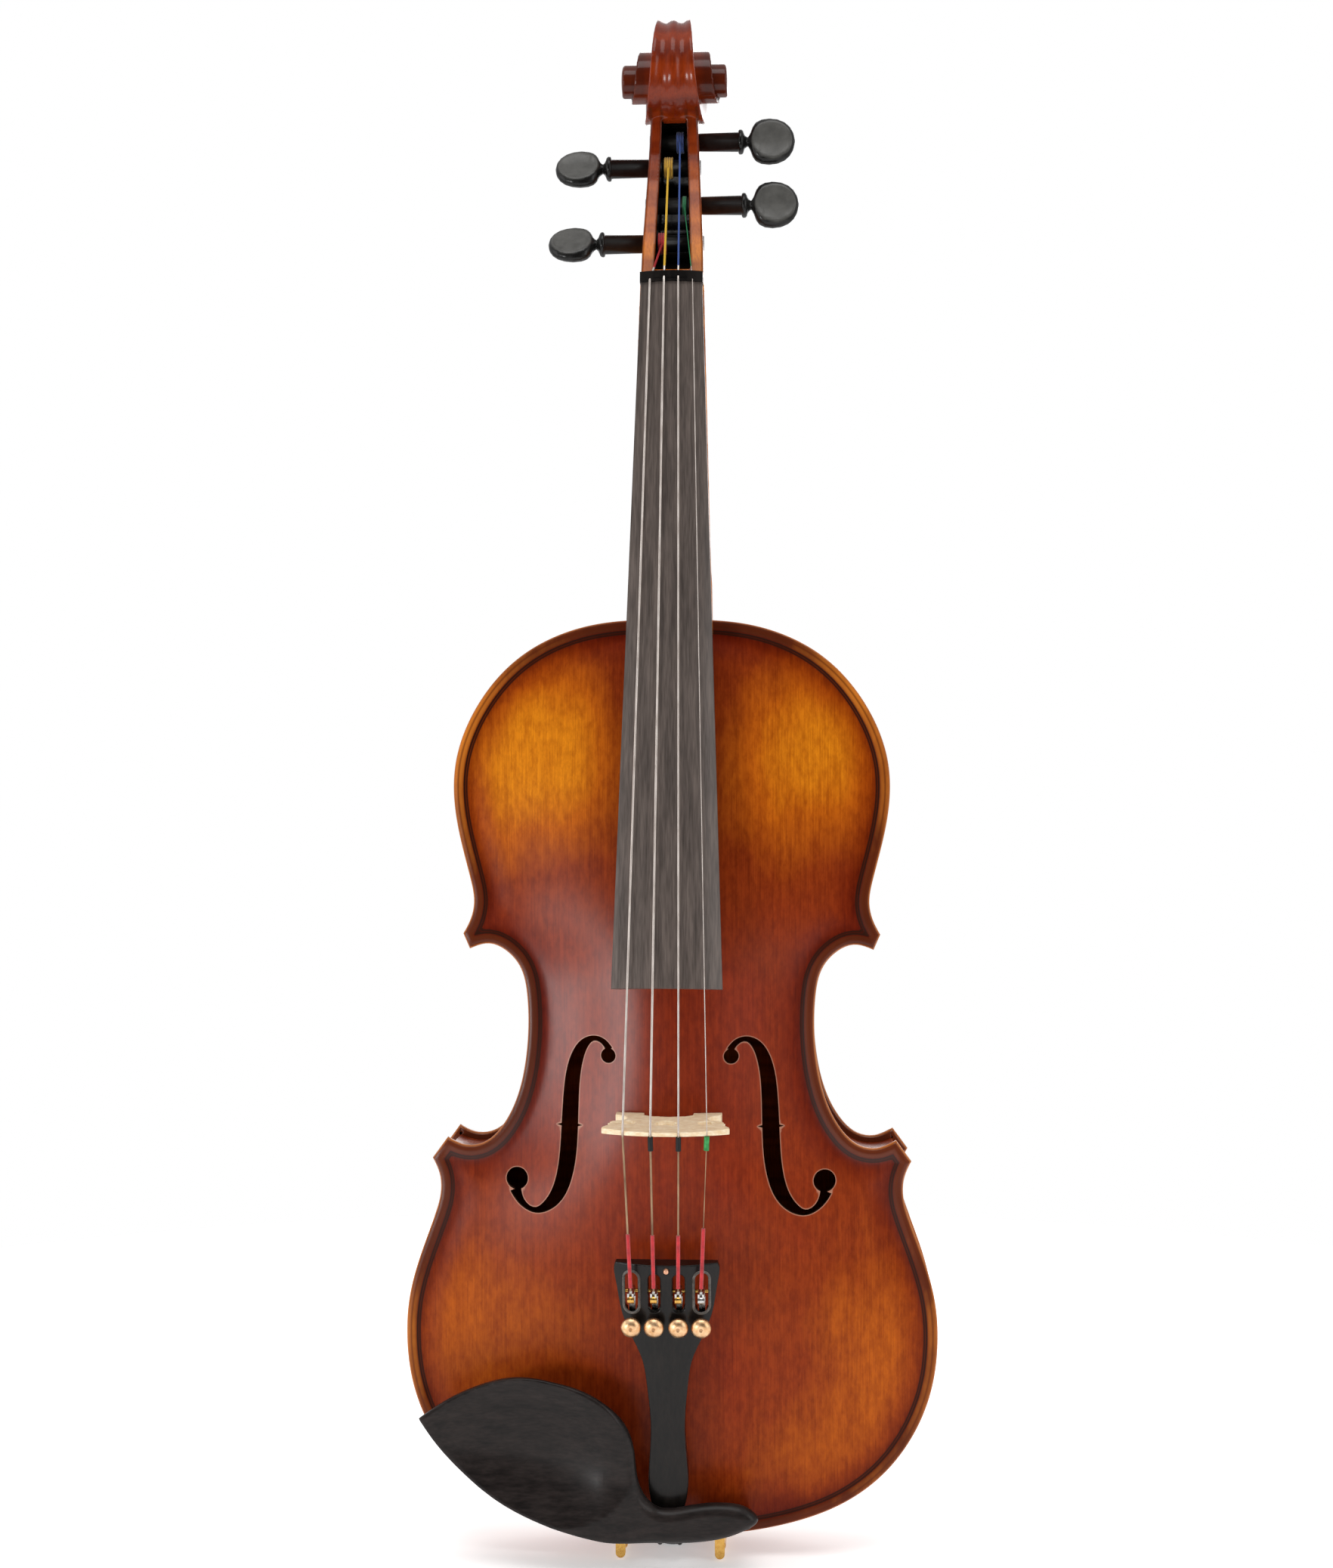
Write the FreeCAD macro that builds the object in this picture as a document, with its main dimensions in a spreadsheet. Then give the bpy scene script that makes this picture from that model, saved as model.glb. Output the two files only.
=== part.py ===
"""A full-size violin, strung and set up, with pegs, string adjusters and a chin rest.

Frame: Z runs up from the tail to the scroll, X to the treble side and Y from the front to the
back.  The origin is on the end button's axis, half way through the ribs, level with the lower
edge of the plates.  Lengths are in millimetres.
"""
import FreeCAD
import Part
import math
import os
import re
import Sketcher
from FreeCAD import Placement, Rotation, Vector

DIMENSIONS = {
    "body_length": 356.0, "rib_height": 31.0, "rib_thickness": 1.2, "overhang": 2.8,
    "edge_thickness": 4.0, "plate_thickness": 3.0, "arch_rise": 12.0, "lining_width": 2.0,
    "lining_height": 7.0, "purfling_inset": 4.2, "purfling_width": 1.2, "purfling_depth": 1.5,
    "neck_angle": 7.16, "overstand": 6.0, "neck_length": 132.0, "nut_thickness": 4.2,
    "nut_half_width": 12.3, "nut_top": 7.6, "board_end_half_width": 21.0, "board_length": 275.0,
    "board_edge": 5.0, "board_crown": 42.0, "bridge_height": 33.0, "bridge_place": 161.4,
    "bridge_foot": 4.4, "bridge_crown_thickness": 1.5, "bridge_spread": 10.45,
    "nut_spread": 5.55, "scroll_place": 221.0, "scroll_depth": 12.0,
    "eye_half_width": 21.4, "peg_small_radius": 3.15, "peg_large_radius": 3.85,
    "peg_collar_radius": 4.9, "peg_head_radius": 9.9, "peg_clearance": 0.05,
    "post_radius": 3.0, "tailpiece_angle": 10.45, "tailpiece_length": 99.0,
    "tailpiece_place": 14.0, "tailpiece_depth": -34.5, "tailpiece_crown": 50.0,
    "adjuster_place": 76.0, "adjuster_travel": 2.5, "stem_radius": 1.1, "stem_tip": 4.6,
    "knob_radius": 3.8, "knob_height": 3.2, "knob_bore": 1.15, "knob_gap": 0.4,
    "knob_grip": 1.5, "pivot_radius": 0.75,
    "pivot_place": 87.5, "pivot_depth": 4.2, "gut_radius": 1.1, "button_neck_radius": 4.0,
    "button_head_radius": 6.4, "button_neck_end": -3.2, "button_head_end": -7.9,
    "shank_radius": 3.5, "shank_depth": 15.0, "saddle_half_width": 11.0, "saddle_height": 6.0,
    "barrel_radius": 2.0, "barrel_bore": 1.3, "barrel_length": 20.0, "barrel_start": -12.0,
    "clamp_spread": 19.2, "clamp_place": -5.6, "stud_radius": 1.25, "cork_thickness": 2.0,
    "button_radius": 10.2, "bar_half_width": 2.7, "bar_place": -17.2, "post_across": 18.0,
    "post_place": 157.0, "bridge_half_width": 24.0, "peg_collar_height": 2.4,
    "peg_head_thickness": 7.6, "silk_radius": 0.72,
    "sleeve_radius": 1.0, "ball_radius": 1.5, "foot_thickness": 1.8, "leg_half_width": 1.9,
}

DOC = FreeCAD.newDocument("Violin")
SHEET = DOC.addObject("Spreadsheet::Sheet", "Dimensions")
for row, (alias, value) in enumerate(DIMENSIONS.items(), start=1):
    SHEET.set(f"A{row}", alias)
    SHEET.set(f"B{row}", str(value))
    SHEET.setAlias(f"B{row}", alias)
DOC.recompute()

PARTS = []


def size(alias):
    """A driving dimension, read back from the sheet."""
    return float(SHEET.get(alias))


def bound(text):
    """An expression in which every driving dimension points at its cell of the sheet."""
    def cell(match):
        word = match.group()
        return f"Dimensions.{word}" if word in DIMENSIONS else word
    return re.sub(r"[a-z][a-z_]+", cell, text)


JOINT = size("rib_height") / 2            # ribs run from -JOINT (front) to +JOINT (back)
EDGE = JOINT + size("edge_thickness")     # outer face of either plate along its edge
APEX = EDGE + size("arch_rise")           # top of either arch
LENGTH = size("body_length")
NECK_TILT = Rotation(Vector(1, 0, 0), -size("neck_angle"))
NECK = Placement(Vector(0, -EDGE - size("overstand"), LENGTH), NECK_TILT)
TAILPIECE = Placement(Vector(0, size("tailpiece_depth"), size("tailpiece_place")),
                      Rotation(Vector(1, 0, 0), size("tailpiece_angle")))
BACKWARD = Vector(0, 1, 0)
PURFLING_PROUD = 0.02                     # the inlay stands this far above the flat edge


# ---------------------------------------------------------------- making sub-parts

def keep(item, label, placement=None):
    """Name a finished sub-part, place it and list it for export."""
    item.Label = label
    if placement is not None:
        item.Placement = placement
    PARTS.append(item)
    return item


def feature(label, shape, placement=None):
    """A sub-part whose shape comes from Part's own functions."""
    item = DOC.addObject("Part::Feature", label)
    item.Shape = shape
    return keep(item, label, placement)


def sketch_on(body, role, name):
    """An empty sketch on one of the body's own origin planes."""
    plane = [item for item in body.Origin.OriginFeatures if item.Role == role][0]
    sketch = body.newObject("Sketcher::SketchObject", name)
    sketch.AttachmentSupport = [(plane, "")]
    sketch.MapMode = "FlatFace"
    return sketch


def draw_polygon(sketch, corners):
    """A closed polygon whose corners are pairs of expressions of the driving dimensions."""
    count = len(corners)
    for index in range(count):
        turn = 2 * math.pi * index / count
        after = 2 * math.pi * (index + 1) / count
        start = Vector(5 + math.cos(turn), 5 + math.sin(turn), 0)
        stop = Vector(5 + math.cos(after), 5 + math.sin(after), 0)
        sketch.addGeometry(Part.LineSegment(start, stop), False)
    for index in range(count):
        sketch.addConstraint(Sketcher.Constraint("Coincident", index, 2, (index + 1) % count, 1))
    for index, corner in enumerate(corners):
        for kind, text in zip(("DistanceX", "DistanceY"), corner):
            place = sketch.addConstraint(Sketcher.Constraint(kind, -1, 1, index, 1, 1.0))
            sketch.setExpression(f"Constraints[{place}]", bound(text))


def turned(label, profile, placement):
    """A body turned about its own Z axis; the profile lists radius and height expressions."""
    body = DOC.addObject("PartDesign::Body", label)
    sketch = sketch_on(body, "XZ_Plane", label + "_profile")
    draw_polygon(sketch, profile)
    turning = body.newObject("PartDesign::Revolution", label + "_turning")
    turning.Profile = sketch
    turning.ReferenceAxis = (sketch, ["V_Axis"])
    turning.Angle = 360.0
    return keep(body, label, placement)


def padded(label, role, corners, thickness, placement=None):
    """A body padded evenly to both sides of a sketch on one of its origin planes."""
    body = DOC.addObject("PartDesign::Body", label)
    sketch = sketch_on(body, role, label + "_profile")
    draw_polygon(sketch, corners)
    pad = body.newObject("PartDesign::Pad", label + "_pad")
    pad.Profile = sketch
    pad.Midplane = True
    pad.setExpression("Length", bound(thickness))
    return keep(body, label, placement)


def block(x_range, y_range, z_range):
    """An upright box between three pairs of limits."""
    (x0, x1), (y0, y1), (z0, z1) = x_range, y_range, z_range
    return Part.makeBox(x1 - x0, y1 - y0, z1 - z0, Vector(x0, y0, z0))


def rod(start, stop, radius):
    """A round rod between two points."""
    return Part.makeCylinder(radius, start.distanceToPoint(stop), start, stop - start)


def tube(points, radius):
    """A round cord through the points, with a ball at each turn."""
    runs = [rod(start, stop, radius) for start, stop in zip(points, points[1:])]
    turns = [Part.makeSphere(radius, point) for point in points[1:-1]]
    return runs[0].fuse(runs[1:] + turns).removeSplitter()


def mirrored(shape):
    """The same shape on the other side of the middle plane."""
    return shape.mirror(Vector(0, 0, 0), Vector(1, 0, 0))


def spline(points):
    """An edge that runs smoothly through the points."""
    curve = Part.BSplineCurve()
    curve.interpolate(points)
    return curve.toShape()


def between(table, place):
    """Straight interpolation in a list of (place, value) pairs."""
    if place <= table[0][0]:
        return table[0][1]
    for (start, low), (stop, high) in zip(table, table[1:]):
        if place <= stop:
            return low + (high - low) * (place - start) / (stop - start)
    return table[-1][1]


# ---------------------------------------------------------------- body outline and arching

# Treble half of the outline: x and z along each bout, from the scroll end to the tail.
UPPER_BOUT = [(0, 356), (31.5, 353.7), (58.8, 341.6), (76, 322), (84.4, 299), (84.7, 285),
              (82.2, 270), (78.4, 255), (77, 245.5), (78.6, 238.6), (81.2, 233.6)]
WAIST = [(78.6, 227.6), (71, 229.6), (64, 226.6), (58.6, 220), (56.2, 210), (55.7, 198),
         (56.8, 184), (60.4, 169), (66, 158.4), (73, 152.2), (80, 151.2), (87.2, 154.2)]
LOWER_BOUT = [(93.2, 146), (90.6, 140), (90, 133), (92.4, 123.5), (98.3, 107), (102.4, 91),
              (103.3, 76), (101, 58), (94.7, 41.6), (82.7, 25.2), (66, 12.9), (44.3, 4.9),
              (22, 1), (0, 0)]
# Zone of the treble waist rib, which meets the other ribs at the corners.
WAIST_ZONE = [(40, 144), (40, 236), (75, 236), (79, 230.6), (96, 230.6), (96, 148.6),
              (88.6, 148.6), (84.5, 144)]
# Half width over which each height of the plate is arched.
ARCH_WIDTH = [(0, 8), (11, 38), (20, 60), (40, 82), (60, 92), (80, 95.5), (110, 90), (135, 78),
              (152, 63), (175, 52), (200, 49), (220, 53), (240, 65), (262, 73), (289, 77),
              (315, 70), (333, 55), (345, 32), (356, 10)]


def inward(points, inset):
    """The points moved to the right of their run, which is the inside of the outline."""
    moved = []
    for index, point in enumerate(points):
        run = points[min(index + 1, len(points) - 1)] - points[max(index - 1, 0)]
        run.normalize()
        moved.append(point + Vector(-run.z, 0, run.x) * -inset)
    return moved


def crossing(first, second):
    """Where two runs of points cross: how far along each, and the point, or None."""
    for i in range(len(first) - 1, 0, -1):
        a, along = first[i - 1], first[i] - first[i - 1]
        for j in range(len(second) - 1):
            c, other = second[j], second[j + 1] - second[j]
            turn = along.x * other.z - along.z * other.x
            if abs(turn) < 1e-12:
                continue
            share = ((c.x - a.x) * other.z - (c.z - a.z) * other.x) / turn
            other_share = ((c.x - a.x) * along.z - (c.z - a.z) * along.x) / turn
            if 0 <= share <= 1 and 0 <= other_share <= 1:
                return i, j, a + along * share
    return None


def trimmed_runs(runs):
    """Neighbouring runs cut back to where they cross; a run that has vanished is dropped."""
    kept = [runs[0]]
    for run in runs[1:]:
        found = crossing(kept[-1], run)
        if found is None and len(kept[-1]) == 2:
            kept.pop()
            found = crossing(kept[-1], run)
        if found is None:
            continue
        i, j, point = found
        kept[-1] = kept[-1][:i] + [point]
        kept.append([point] + run[j + 1:])
    return kept


def thinned(run):
    """About every third point of a dense run, with both ends."""
    if len(run) < 9:
        return [run[0], run[-1]]
    return run[:-2:3] + [run[-1]]


def outline(inset=0.0):
    """The closed outline of the plates, drawn in by an inset, at the middle of the ribs."""
    def at(pairs):
        return [Vector(x, 0, z) for x, z in pairs]
    upper, waist, lower = at(UPPER_BOUT), at(WAIST), at(LOWER_BOUT)
    bouts = []
    for run in (upper, waist, lower):
        curve = Part.BSplineCurve()
        curve.interpolate(run)
        bouts.append(curve.toShape().discretize(Number=91))
    runs = [bouts[0], [upper[-1], waist[0]], bouts[1], [waist[-1], lower[0]], bouts[2]]
    if inset:
        moved = [inward(run, inset) for run in runs]
        moved[0][0] = Vector(0, 0, LENGTH - inset)
        moved[-1][-1] = Vector(0, 0, inset)
        runs = trimmed_runs(moved)
    runs = [thinned(run) for run in runs]
    edges = []
    flipped = [[Vector(-point.x, 0, point.z) for point in reversed(run)] for run in runs]
    upper_run = flipped[0][:-1] + runs[0]
    lower_run = runs[-1] + flipped[-1][1:]
    for run in [upper_run] + runs[1:-1] + [lower_run] + flipped[-2:0:-1]:
        edges.append(Part.makeLine(*run) if len(run) == 2 else spline(run))
    return Part.Wire(edges)


def prism(inset, front, back):
    """The outline, drawn in by an inset and extruded from one depth to another."""
    face = Part.Face(outline(inset))
    face.translate(Vector(0, front, 0))
    return face.extrude(Vector(0, back - front, 0))


def ring(outer, inner, front, back):
    """The band between two insets of the outline."""
    opening = outline(inner)
    opening.reverse()
    face = Part.Face([outline(outer), opening])
    face.translate(Vector(0, front, 0))
    return face.extrude(Vector(0, back - front, 0))


def arch(x, z):
    """Share of the full arch height at a point of either plate."""
    across = min(abs(x) / between(ARCH_WIDTH, z), 1.0)
    along = min(abs(z - LENGTH / 2) / (LENGTH / 2), 1.0)
    return (0.5 + 0.5 * math.cos(math.pi * across)) ** 0.8 * (1.0 - along ** 2.6)


def arched_face(edge_depth, rise):
    """A smooth surface at the edge depth that swells by the rise towards the front or back."""
    rows = []
    for step_z in range(37):
        z = -6 + step_z * (LENGTH + 20) / 36
        rows.append([Vector(x, edge_depth + rise * arch(x, z), z) for x in range(-108, 109, 9)])
    surface = Part.BSplineSurface()
    surface.interpolate(rows)
    return surface.toShape()


HOLLOW_EDGE = JOINT - 0.6
HOLLOW_RISE = APEX - size("plate_thickness") - HOLLOW_EDGE
FRONT_SKIN = arched_face(-EDGE, -size("arch_rise"))
FRONT_LINING = arched_face(-HOLLOW_EDGE, -HOLLOW_RISE)
BACK_SKIN = arched_face(EDGE, size("arch_rise"))
BACK_LINING = arched_face(HOLLOW_EDGE, HOLLOW_RISE)
BEHIND_FRONT = FRONT_SKIN.extrude(Vector(0, 60, 0))
FRONT_HOLLOW = FRONT_LINING.extrude(Vector(0, 60, 0))
BEFORE_BACK = BACK_SKIN.extrude(Vector(0, -60, 0))
BACK_HOLLOW = BACK_LINING.extrude(Vector(0, -60, 0))


# ---------------------------------------------------------------- sound holes

HOLE_UPPER_EYE = (23.7, 187.2, 2.9)
HOLE_LOWER_EYE = (59.6, 138.8, 4.3)
# Middle line of the treble sound hole with its half width, from the upper to the lower eye.
HOLE_LINE = [(23.2, 189.4, 1.4), (25.8, 192.6, 1.1), (29.4, 193.7, 1.0), (33, 191.7, 1.8),
             (35.8, 187, 2.5), (37.6, 180, 2.9), (38.4, 172, 3.1), (38.9, 160, 3.3),
             (39.5, 149, 3.3), (41, 140, 3.1), (43.8, 133, 2.7), (48, 128.5, 1.9),
             (52.4, 126.9, 1.1), (55.8, 128.2, 1.1), (58.6, 131.2, 1.6), (60.2, 134.8, 2.3)]


def sound_hole():
    """The treble sound hole as a solid that passes through the front."""
    near, far = [], []
    last = len(HOLE_LINE) - 1
    for index, (x, z, half) in enumerate(HOLE_LINE):
        x0, z0, _ = HOLE_LINE[max(index - 1, 0)]
        x1, z1, _ = HOLE_LINE[min(index + 1, last)]
        run = math.hypot(x1 - x0, z1 - z0)
        side_x, side_z = (z1 - z0) / run * half, -(x1 - x0) / run * half
        near.append(Vector(x - side_x, -40, z - side_z))
        far.append(Vector(x + side_x, -40, z + side_z))
    far.reverse()
    wire = Part.Wire([spline(near), Part.makeLine(near[-1], far[0]), spline(far),
                      Part.makeLine(far[-1], near[0])])
    stem = Part.Face(wire).extrude(Vector(0, 30, 0))
    eyes = [Part.makeCylinder(radius, 30, Vector(x, -40, z), BACKWARD)
            for x, z, radius in (HOLE_UPPER_EYE, HOLE_LOWER_EYE)]
    x, z, half = HOLE_LINE[7]
    nick = Part.makePolygon([Vector(x - half - 1.8, -40, z), Vector(x, -40, z + 1.4),
                             Vector(x + half + 1.8, -40, z), Vector(x, -40, z - 1.4),
                             Vector(x - half - 1.8, -40, z)])
    nicks = Part.Face(nick).extrude(Vector(0, 30, 0))
    return stem.fuse(eyes + [nicks])


# ---------------------------------------------------------------- neck and head

# Neck sections: distance from the body edge, half width at the board, depth behind the board.
NECK_SECTIONS = [(-12, 16.6, 50), (12, 16.2, 50), (15.6, 16.1, 49), (16.6, 16.1, 42),
                 (17.8, 16, 33), (19.4, 15.9, 25), (21.8, 15.8, 18.5), (25, 15.7, 14.8),
                 (30, 15.5, 13.2), (55, 14.8, 12.5), (90, 13.8, 12.2), (125, 12.8, 12.1),
                 (138, 12.4, 12.4)]
# Side view of the head: depth behind the board's plane and distance from the body edge.
HEAD_FRONT = [(0, 137), (2.2, 150), (5, 164), (7.5, 178), (8.8, 190), (8.6, 199), (6.5, 206)]
HEAD_BACK = [(36.2, 223), (34.2, 210), (31.6, 198), (29.6, 187), (28.2, 175), (27, 163),
             (24.6, 153), (20.6, 145.5), (15.5, 139.5), (12.3, 133)]
CAVITY_FLOOR = [(26, 197.5), (24.4, 186), (23.2, 175), (21.8, 163), (18.2, 152), (12, 144.5),
                (4, 139.8)]
HEAD_HALF_WIDTH = [(133, 12.4), (150, 12), (200, 9.6), (212, 8.8), (223, 7.8)]
CAVITY_HALF_WIDTH = [(138, 7.2), (204, 4.9)]
# Volute: quarter turns from the back over the top, radius and half width of the wood there.
VOLUTE_RADIUS = [24.2, 25, 21.5, 17.2, 14.5, 12.2, 10.2, 8.8, 7.6, 6.9, 6.5, 6.3, 6.2]
VOLUTE_HALF_WIDTH = [7.8, 6, 8.6, 12, 12.8, 13.6, 15.2, 17, 18.6]
# Pegs: string, side of the head, place along the neck and depth behind the board's plane.
PEGS = [("g", -1, 153.0, 10.0, 27.3, 33), ("e", 1, 169.5, 12.5, 27.0, 0),
        ("d", -1, 186.0, 14.5, 25.3, 27), ("a", 1, 197.0, 15.5, 25.5, 0)]


def neck_section(place, half_width, depth):
    """One half-round section of the neck, flat towards the board."""
    arc = []
    for step in range(13):
        turn = math.pi * step / 12
        x = half_width * math.cos(turn)
        arc.append(Vector(x, depth * math.sin(turn) ** 0.8, place))
    return Part.Wire([spline(arc), Part.makeLine(arc[-1], arc[0])])


def side_solid(depth_and_place, half_width):
    """A side view, given as depth and place, extruded to both sides."""
    corners = [Vector(-half_width, depth, place) for depth, place in depth_and_place]
    face = Part.Face(Part.makePolygon(corners + corners[:1]))
    return face.extrude(Vector(2 * half_width, 0, 0))


def tapered(table, front, back):
    """A solid as wide as the table says at each place along the neck."""
    right = [Vector(half, front, place) for place, half in table]
    left = [Vector(-half, front, place) for place, half in reversed(table)]
    face = Part.Face(Part.makePolygon(right + left + right[:1]))
    return face.extrude(Vector(0, back - front, 0))


def volute():
    """The scroll as a stack of spiral steps, the highest at the eye."""
    centre_depth, centre_place = size("scroll_depth"), size("scroll_place")
    table = list(enumerate(VOLUTE_RADIUS))
    solids = []
    for quarter, half_width in enumerate(VOLUTE_HALF_WIDTH):
        rim = []
        for step in range(33):
            turn = quarter + step / 8
            radius = between(table, turn) - 0.12 * quarter
            angle = turn * math.pi / 2
            rim.append(Vector(-half_width, centre_depth + radius * math.cos(angle),
                              centre_place + radius * math.sin(angle)))
        wire = Part.Wire([spline(rim), Part.makeLine(rim[-1], rim[0])])
        solids.append(Part.Face(wire).extrude(Vector(2 * half_width, 0, 0)))
    eye_half = size("eye_half_width")
    solids.append(Part.makeCylinder(VOLUTE_RADIUS[-1], 2 * eye_half,
                                    Vector(-eye_half, centre_depth, centre_place),
                                    Vector(1, 0, 0)))
    return solids[0].fuse(solids[1:])


def peg_axis(side, place, depth):
    """Placement of a peg in the neck's frame: its Z axis runs out through the head."""
    return Placement(Vector(0, depth, place), Rotation(Vector(0, 1, 0), 90 * side))


def peg_taper(half_width, clearance):
    """The tapered shank that turns in both cheeks of the pegbox."""
    start, stop = -half_width, 40.0
    grow = (size("peg_large_radius") - size("peg_small_radius")) / 38.0
    small = size("peg_small_radius") + clearance
    return Part.makeCone(small, small + grow * (stop - start), stop - start, Vector(0, 0, start))


def make_neck():
    """Neck, heel, pegbox and scroll, let into the upper block and resting on the button."""
    sections = [neck_section(*section) for section in NECK_SECTIONS]
    side = HEAD_FRONT + [(12, 221)] + HEAD_BACK
    head = side_solid(side, 14).common(tapered(HEAD_HALF_WIDTH, -5, 60))
    cavity_side = [(-8, 139.8), (-8, 203.5), (14, 203.5)] + CAVITY_FLOOR
    cavity = side_solid(cavity_side, 14).common(tapered(CAVITY_HALF_WIDTH, -10, 60))
    holes = []
    for _, side_sign, place, depth, _, _ in PEGS:
        hole = peg_taper(15.0, size("peg_clearance"))
        hole.Placement = peg_axis(side_sign, place, depth)
        holes.append(hole)
    solid = Part.makeLoft(sections, True, True).fuse(head).cut([cavity] + holes)
    solid = solid.fuse(volute())
    solid.Placement = NECK
    root_floor = LENGTH - 6.5
    below_body = block((-40, 40), (-60, 80), (LENGTH - 60, root_floor))
    behind_joint = block((-40, 40), (JOINT, 80), (LENGTH - 60, LENGTH + 14))
    return solid.cut([below_body, behind_joint])


NECK_SOLID = make_neck()


# ---------------------------------------------------------------- strings' routes

STRINGS = [("g", -1.5, 0.42), ("d", -0.5, 0.43), ("a", 0.5, 0.36), ("e", 1.5, 0.17)]
ADJUSTER_X = {"g": -13.2, "d": -4.6, "a": 4.6, "e": 13.2}
WINDING_X = {"g": -4.4, "d": -2.4, "a": 2.2, "e": 4.2}


def crown_drop(x, radius):
    """How far a crowned top has fallen at a distance from its middle."""
    return radius - math.sqrt(radius ** 2 - x ** 2)


def in_neck(x, depth, place):
    """A point given in the neck's frame."""
    return NECK.multVec(Vector(x, depth, place))


def in_tailpiece(x, depth, place):
    """A point given in the tailpiece's frame."""
    return TAILPIECE.multVec(Vector(x, depth, place))


def string_points(name, step, radius):
    """The places where a string is held: adjuster, bridge, nut and peg winding."""
    hook = in_tailpiece(ADJUSTER_X[name], -2.6, 90.0)
    bridge_x = step * size("bridge_spread")
    bridge_drop = crown_drop(bridge_x, size("board_crown"))
    bridge_y = -APEX - size("bridge_height") + bridge_drop
    bridge = Vector(bridge_x, bridge_y, size("bridge_place") + 0.8)
    nut_x = step * size("nut_spread")
    nut_depth = -size("nut_top") + crown_drop(nut_x, size("board_crown"))
    nut = in_neck(nut_x, nut_depth, size("neck_length") + 0.6)
    peg = [row for row in PEGS if row[0] == name][0]
    _, _, place, depth, _, _ = peg
    reach = 3.5 + 2 * radius + 0.3
    winding = in_neck(WINDING_X[name], depth - reach * 0.94, place - reach * 0.34)
    return [hook, bridge, nut, winding]


ROUTES = {name: string_points(name, step, radius) for name, step, radius in STRINGS}
GAUGE = {name: radius for name, _, radius in STRINGS}


# ---------------------------------------------------------------- the sub-parts

def make_plates():
    """Front and back, each carved inside and out, with the inlay along its edge."""
    hole = sound_hole()
    top = prism(0, -60, -JOINT).common(BEHIND_FRONT).cut(FRONT_HOLLOW)
    saddle_room = block((-size("saddle_half_width"), size("saddle_half_width")),
                        (-60, 0), (-5, size("saddle_height") + 1))
    purfling_front = -EDGE - PURFLING_PROUD
    top_line = ring(size("purfling_inset"), size("purfling_inset") + size("purfling_width"),
                    purfling_front, purfling_front + size("purfling_depth"))
    for room in (hole, mirrored(hole), NECK_SOLID, saddle_room, top_line):
        top = top.cut(room)
    top_line = top_line.cut(NECK_SOLID).cut(saddle_room)
    button = Part.makeCylinder(size("button_radius"), size("edge_thickness"),
                               Vector(0, JOINT, LENGTH + 1.3), BACKWARD)
    back = prism(0, JOINT, 60).common(BEFORE_BACK).cut(BACK_HOLLOW).fuse(button)
    back_line = ring(size("purfling_inset"), size("purfling_inset") + size("purfling_width"),
                     EDGE + PURFLING_PROUD - size("purfling_depth"),
                     EDGE + PURFLING_PROUD)
    back = back.cut(back_line)
    feature("top_plate", top)
    feature("back_plate", back)
    feature("purfling_top", top_line)
    feature("purfling_back", back_line)


def make_ribs_and_blocks():
    """The ribs with the blocks and linings that stiffen them inside."""
    inset = size("overhang")
    lining_start = inset + size("rib_thickness")
    band = ring(inset, lining_start, -JOINT, JOINT)
    shank = Part.makeCylinder(size("shank_radius"), 20, Vector(0, 0, -2))
    corners = [Vector(x, -20, z) for x, z in WAIST_ZONE]
    waist = Part.Face(Part.makePolygon(corners + corners[:1])).extrude(Vector(0, 40, 0))
    middle = LENGTH * 0.53
    upper_half = block((0, 120), (-20, 20), (middle, 400)).cut(waist)
    lower_half = block((0, 120), (-20, 20), (-20, middle)).cut(waist)
    for label, zone in (("upper_ribs", upper_half), ("waist_ribs", waist),
                        ("lower_ribs", lower_half)):
        treble = band.common(zone).cut(shank).cut(NECK_SOLID)
        feature(label, Part.makeCompound([treble, mirrored(treble)]))
    inside = prism(lining_start, -JOINT, JOINT)
    upper = inside.common(block((-27, 27), (-20, 20), (337, 360))).cut(NECK_SOLID)
    lower = inside.common(block((-24, 24), (-20, 20), (0, 19))).cut(shank)
    feature("upper_block", upper)
    feature("lower_block", lower)
    corners = []
    for low, high, inner in ((222, 246, 66), (136, 161, 70)):
        corner = inside.common(block((inner, 120), (-20, 20), (low, high)))
        corners += [corner, mirrored(corner)]
    feature("corner_blocks", Part.makeCompound(corners))
    height = size("lining_height")
    strips = []
    for front in (-JOINT, JOINT - height):
        strip = ring(lining_start, lining_start + size("lining_width"), front, front + height)
        strips.append(strip.cut([upper, lower, NECK_SOLID] + corners))
    feature("linings", Part.makeCompound(strips))


def make_bar_and_post():
    """The bass bar under the front and the post between front and back."""
    profile = [(-34, 62), (-20.6, 62), (-18.6, 110), (-16.6, 165), (-18.2, 230), (-20.6, 298),
               (-34, 298)]
    bar = side_solid(profile, size("bar_half_width"))
    bar.translate(Vector(size("bar_place"), 0, 0))
    feature("bass_bar", bar.common(FRONT_HOLLOW))
    post = Part.makeCylinder(size("post_radius"), 80,
                             Vector(size("post_across"), -40, size("post_place")), BACKWARD)
    inside = block((0, 40), (-40, 0), (140, 175)).common(FRONT_HOLLOW).fuse(
        block((0, 40), (0, 40), (140, 175)).common(BACK_HOLLOW))
    feature("sound_post", post.common(inside).removeSplitter())


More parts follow.
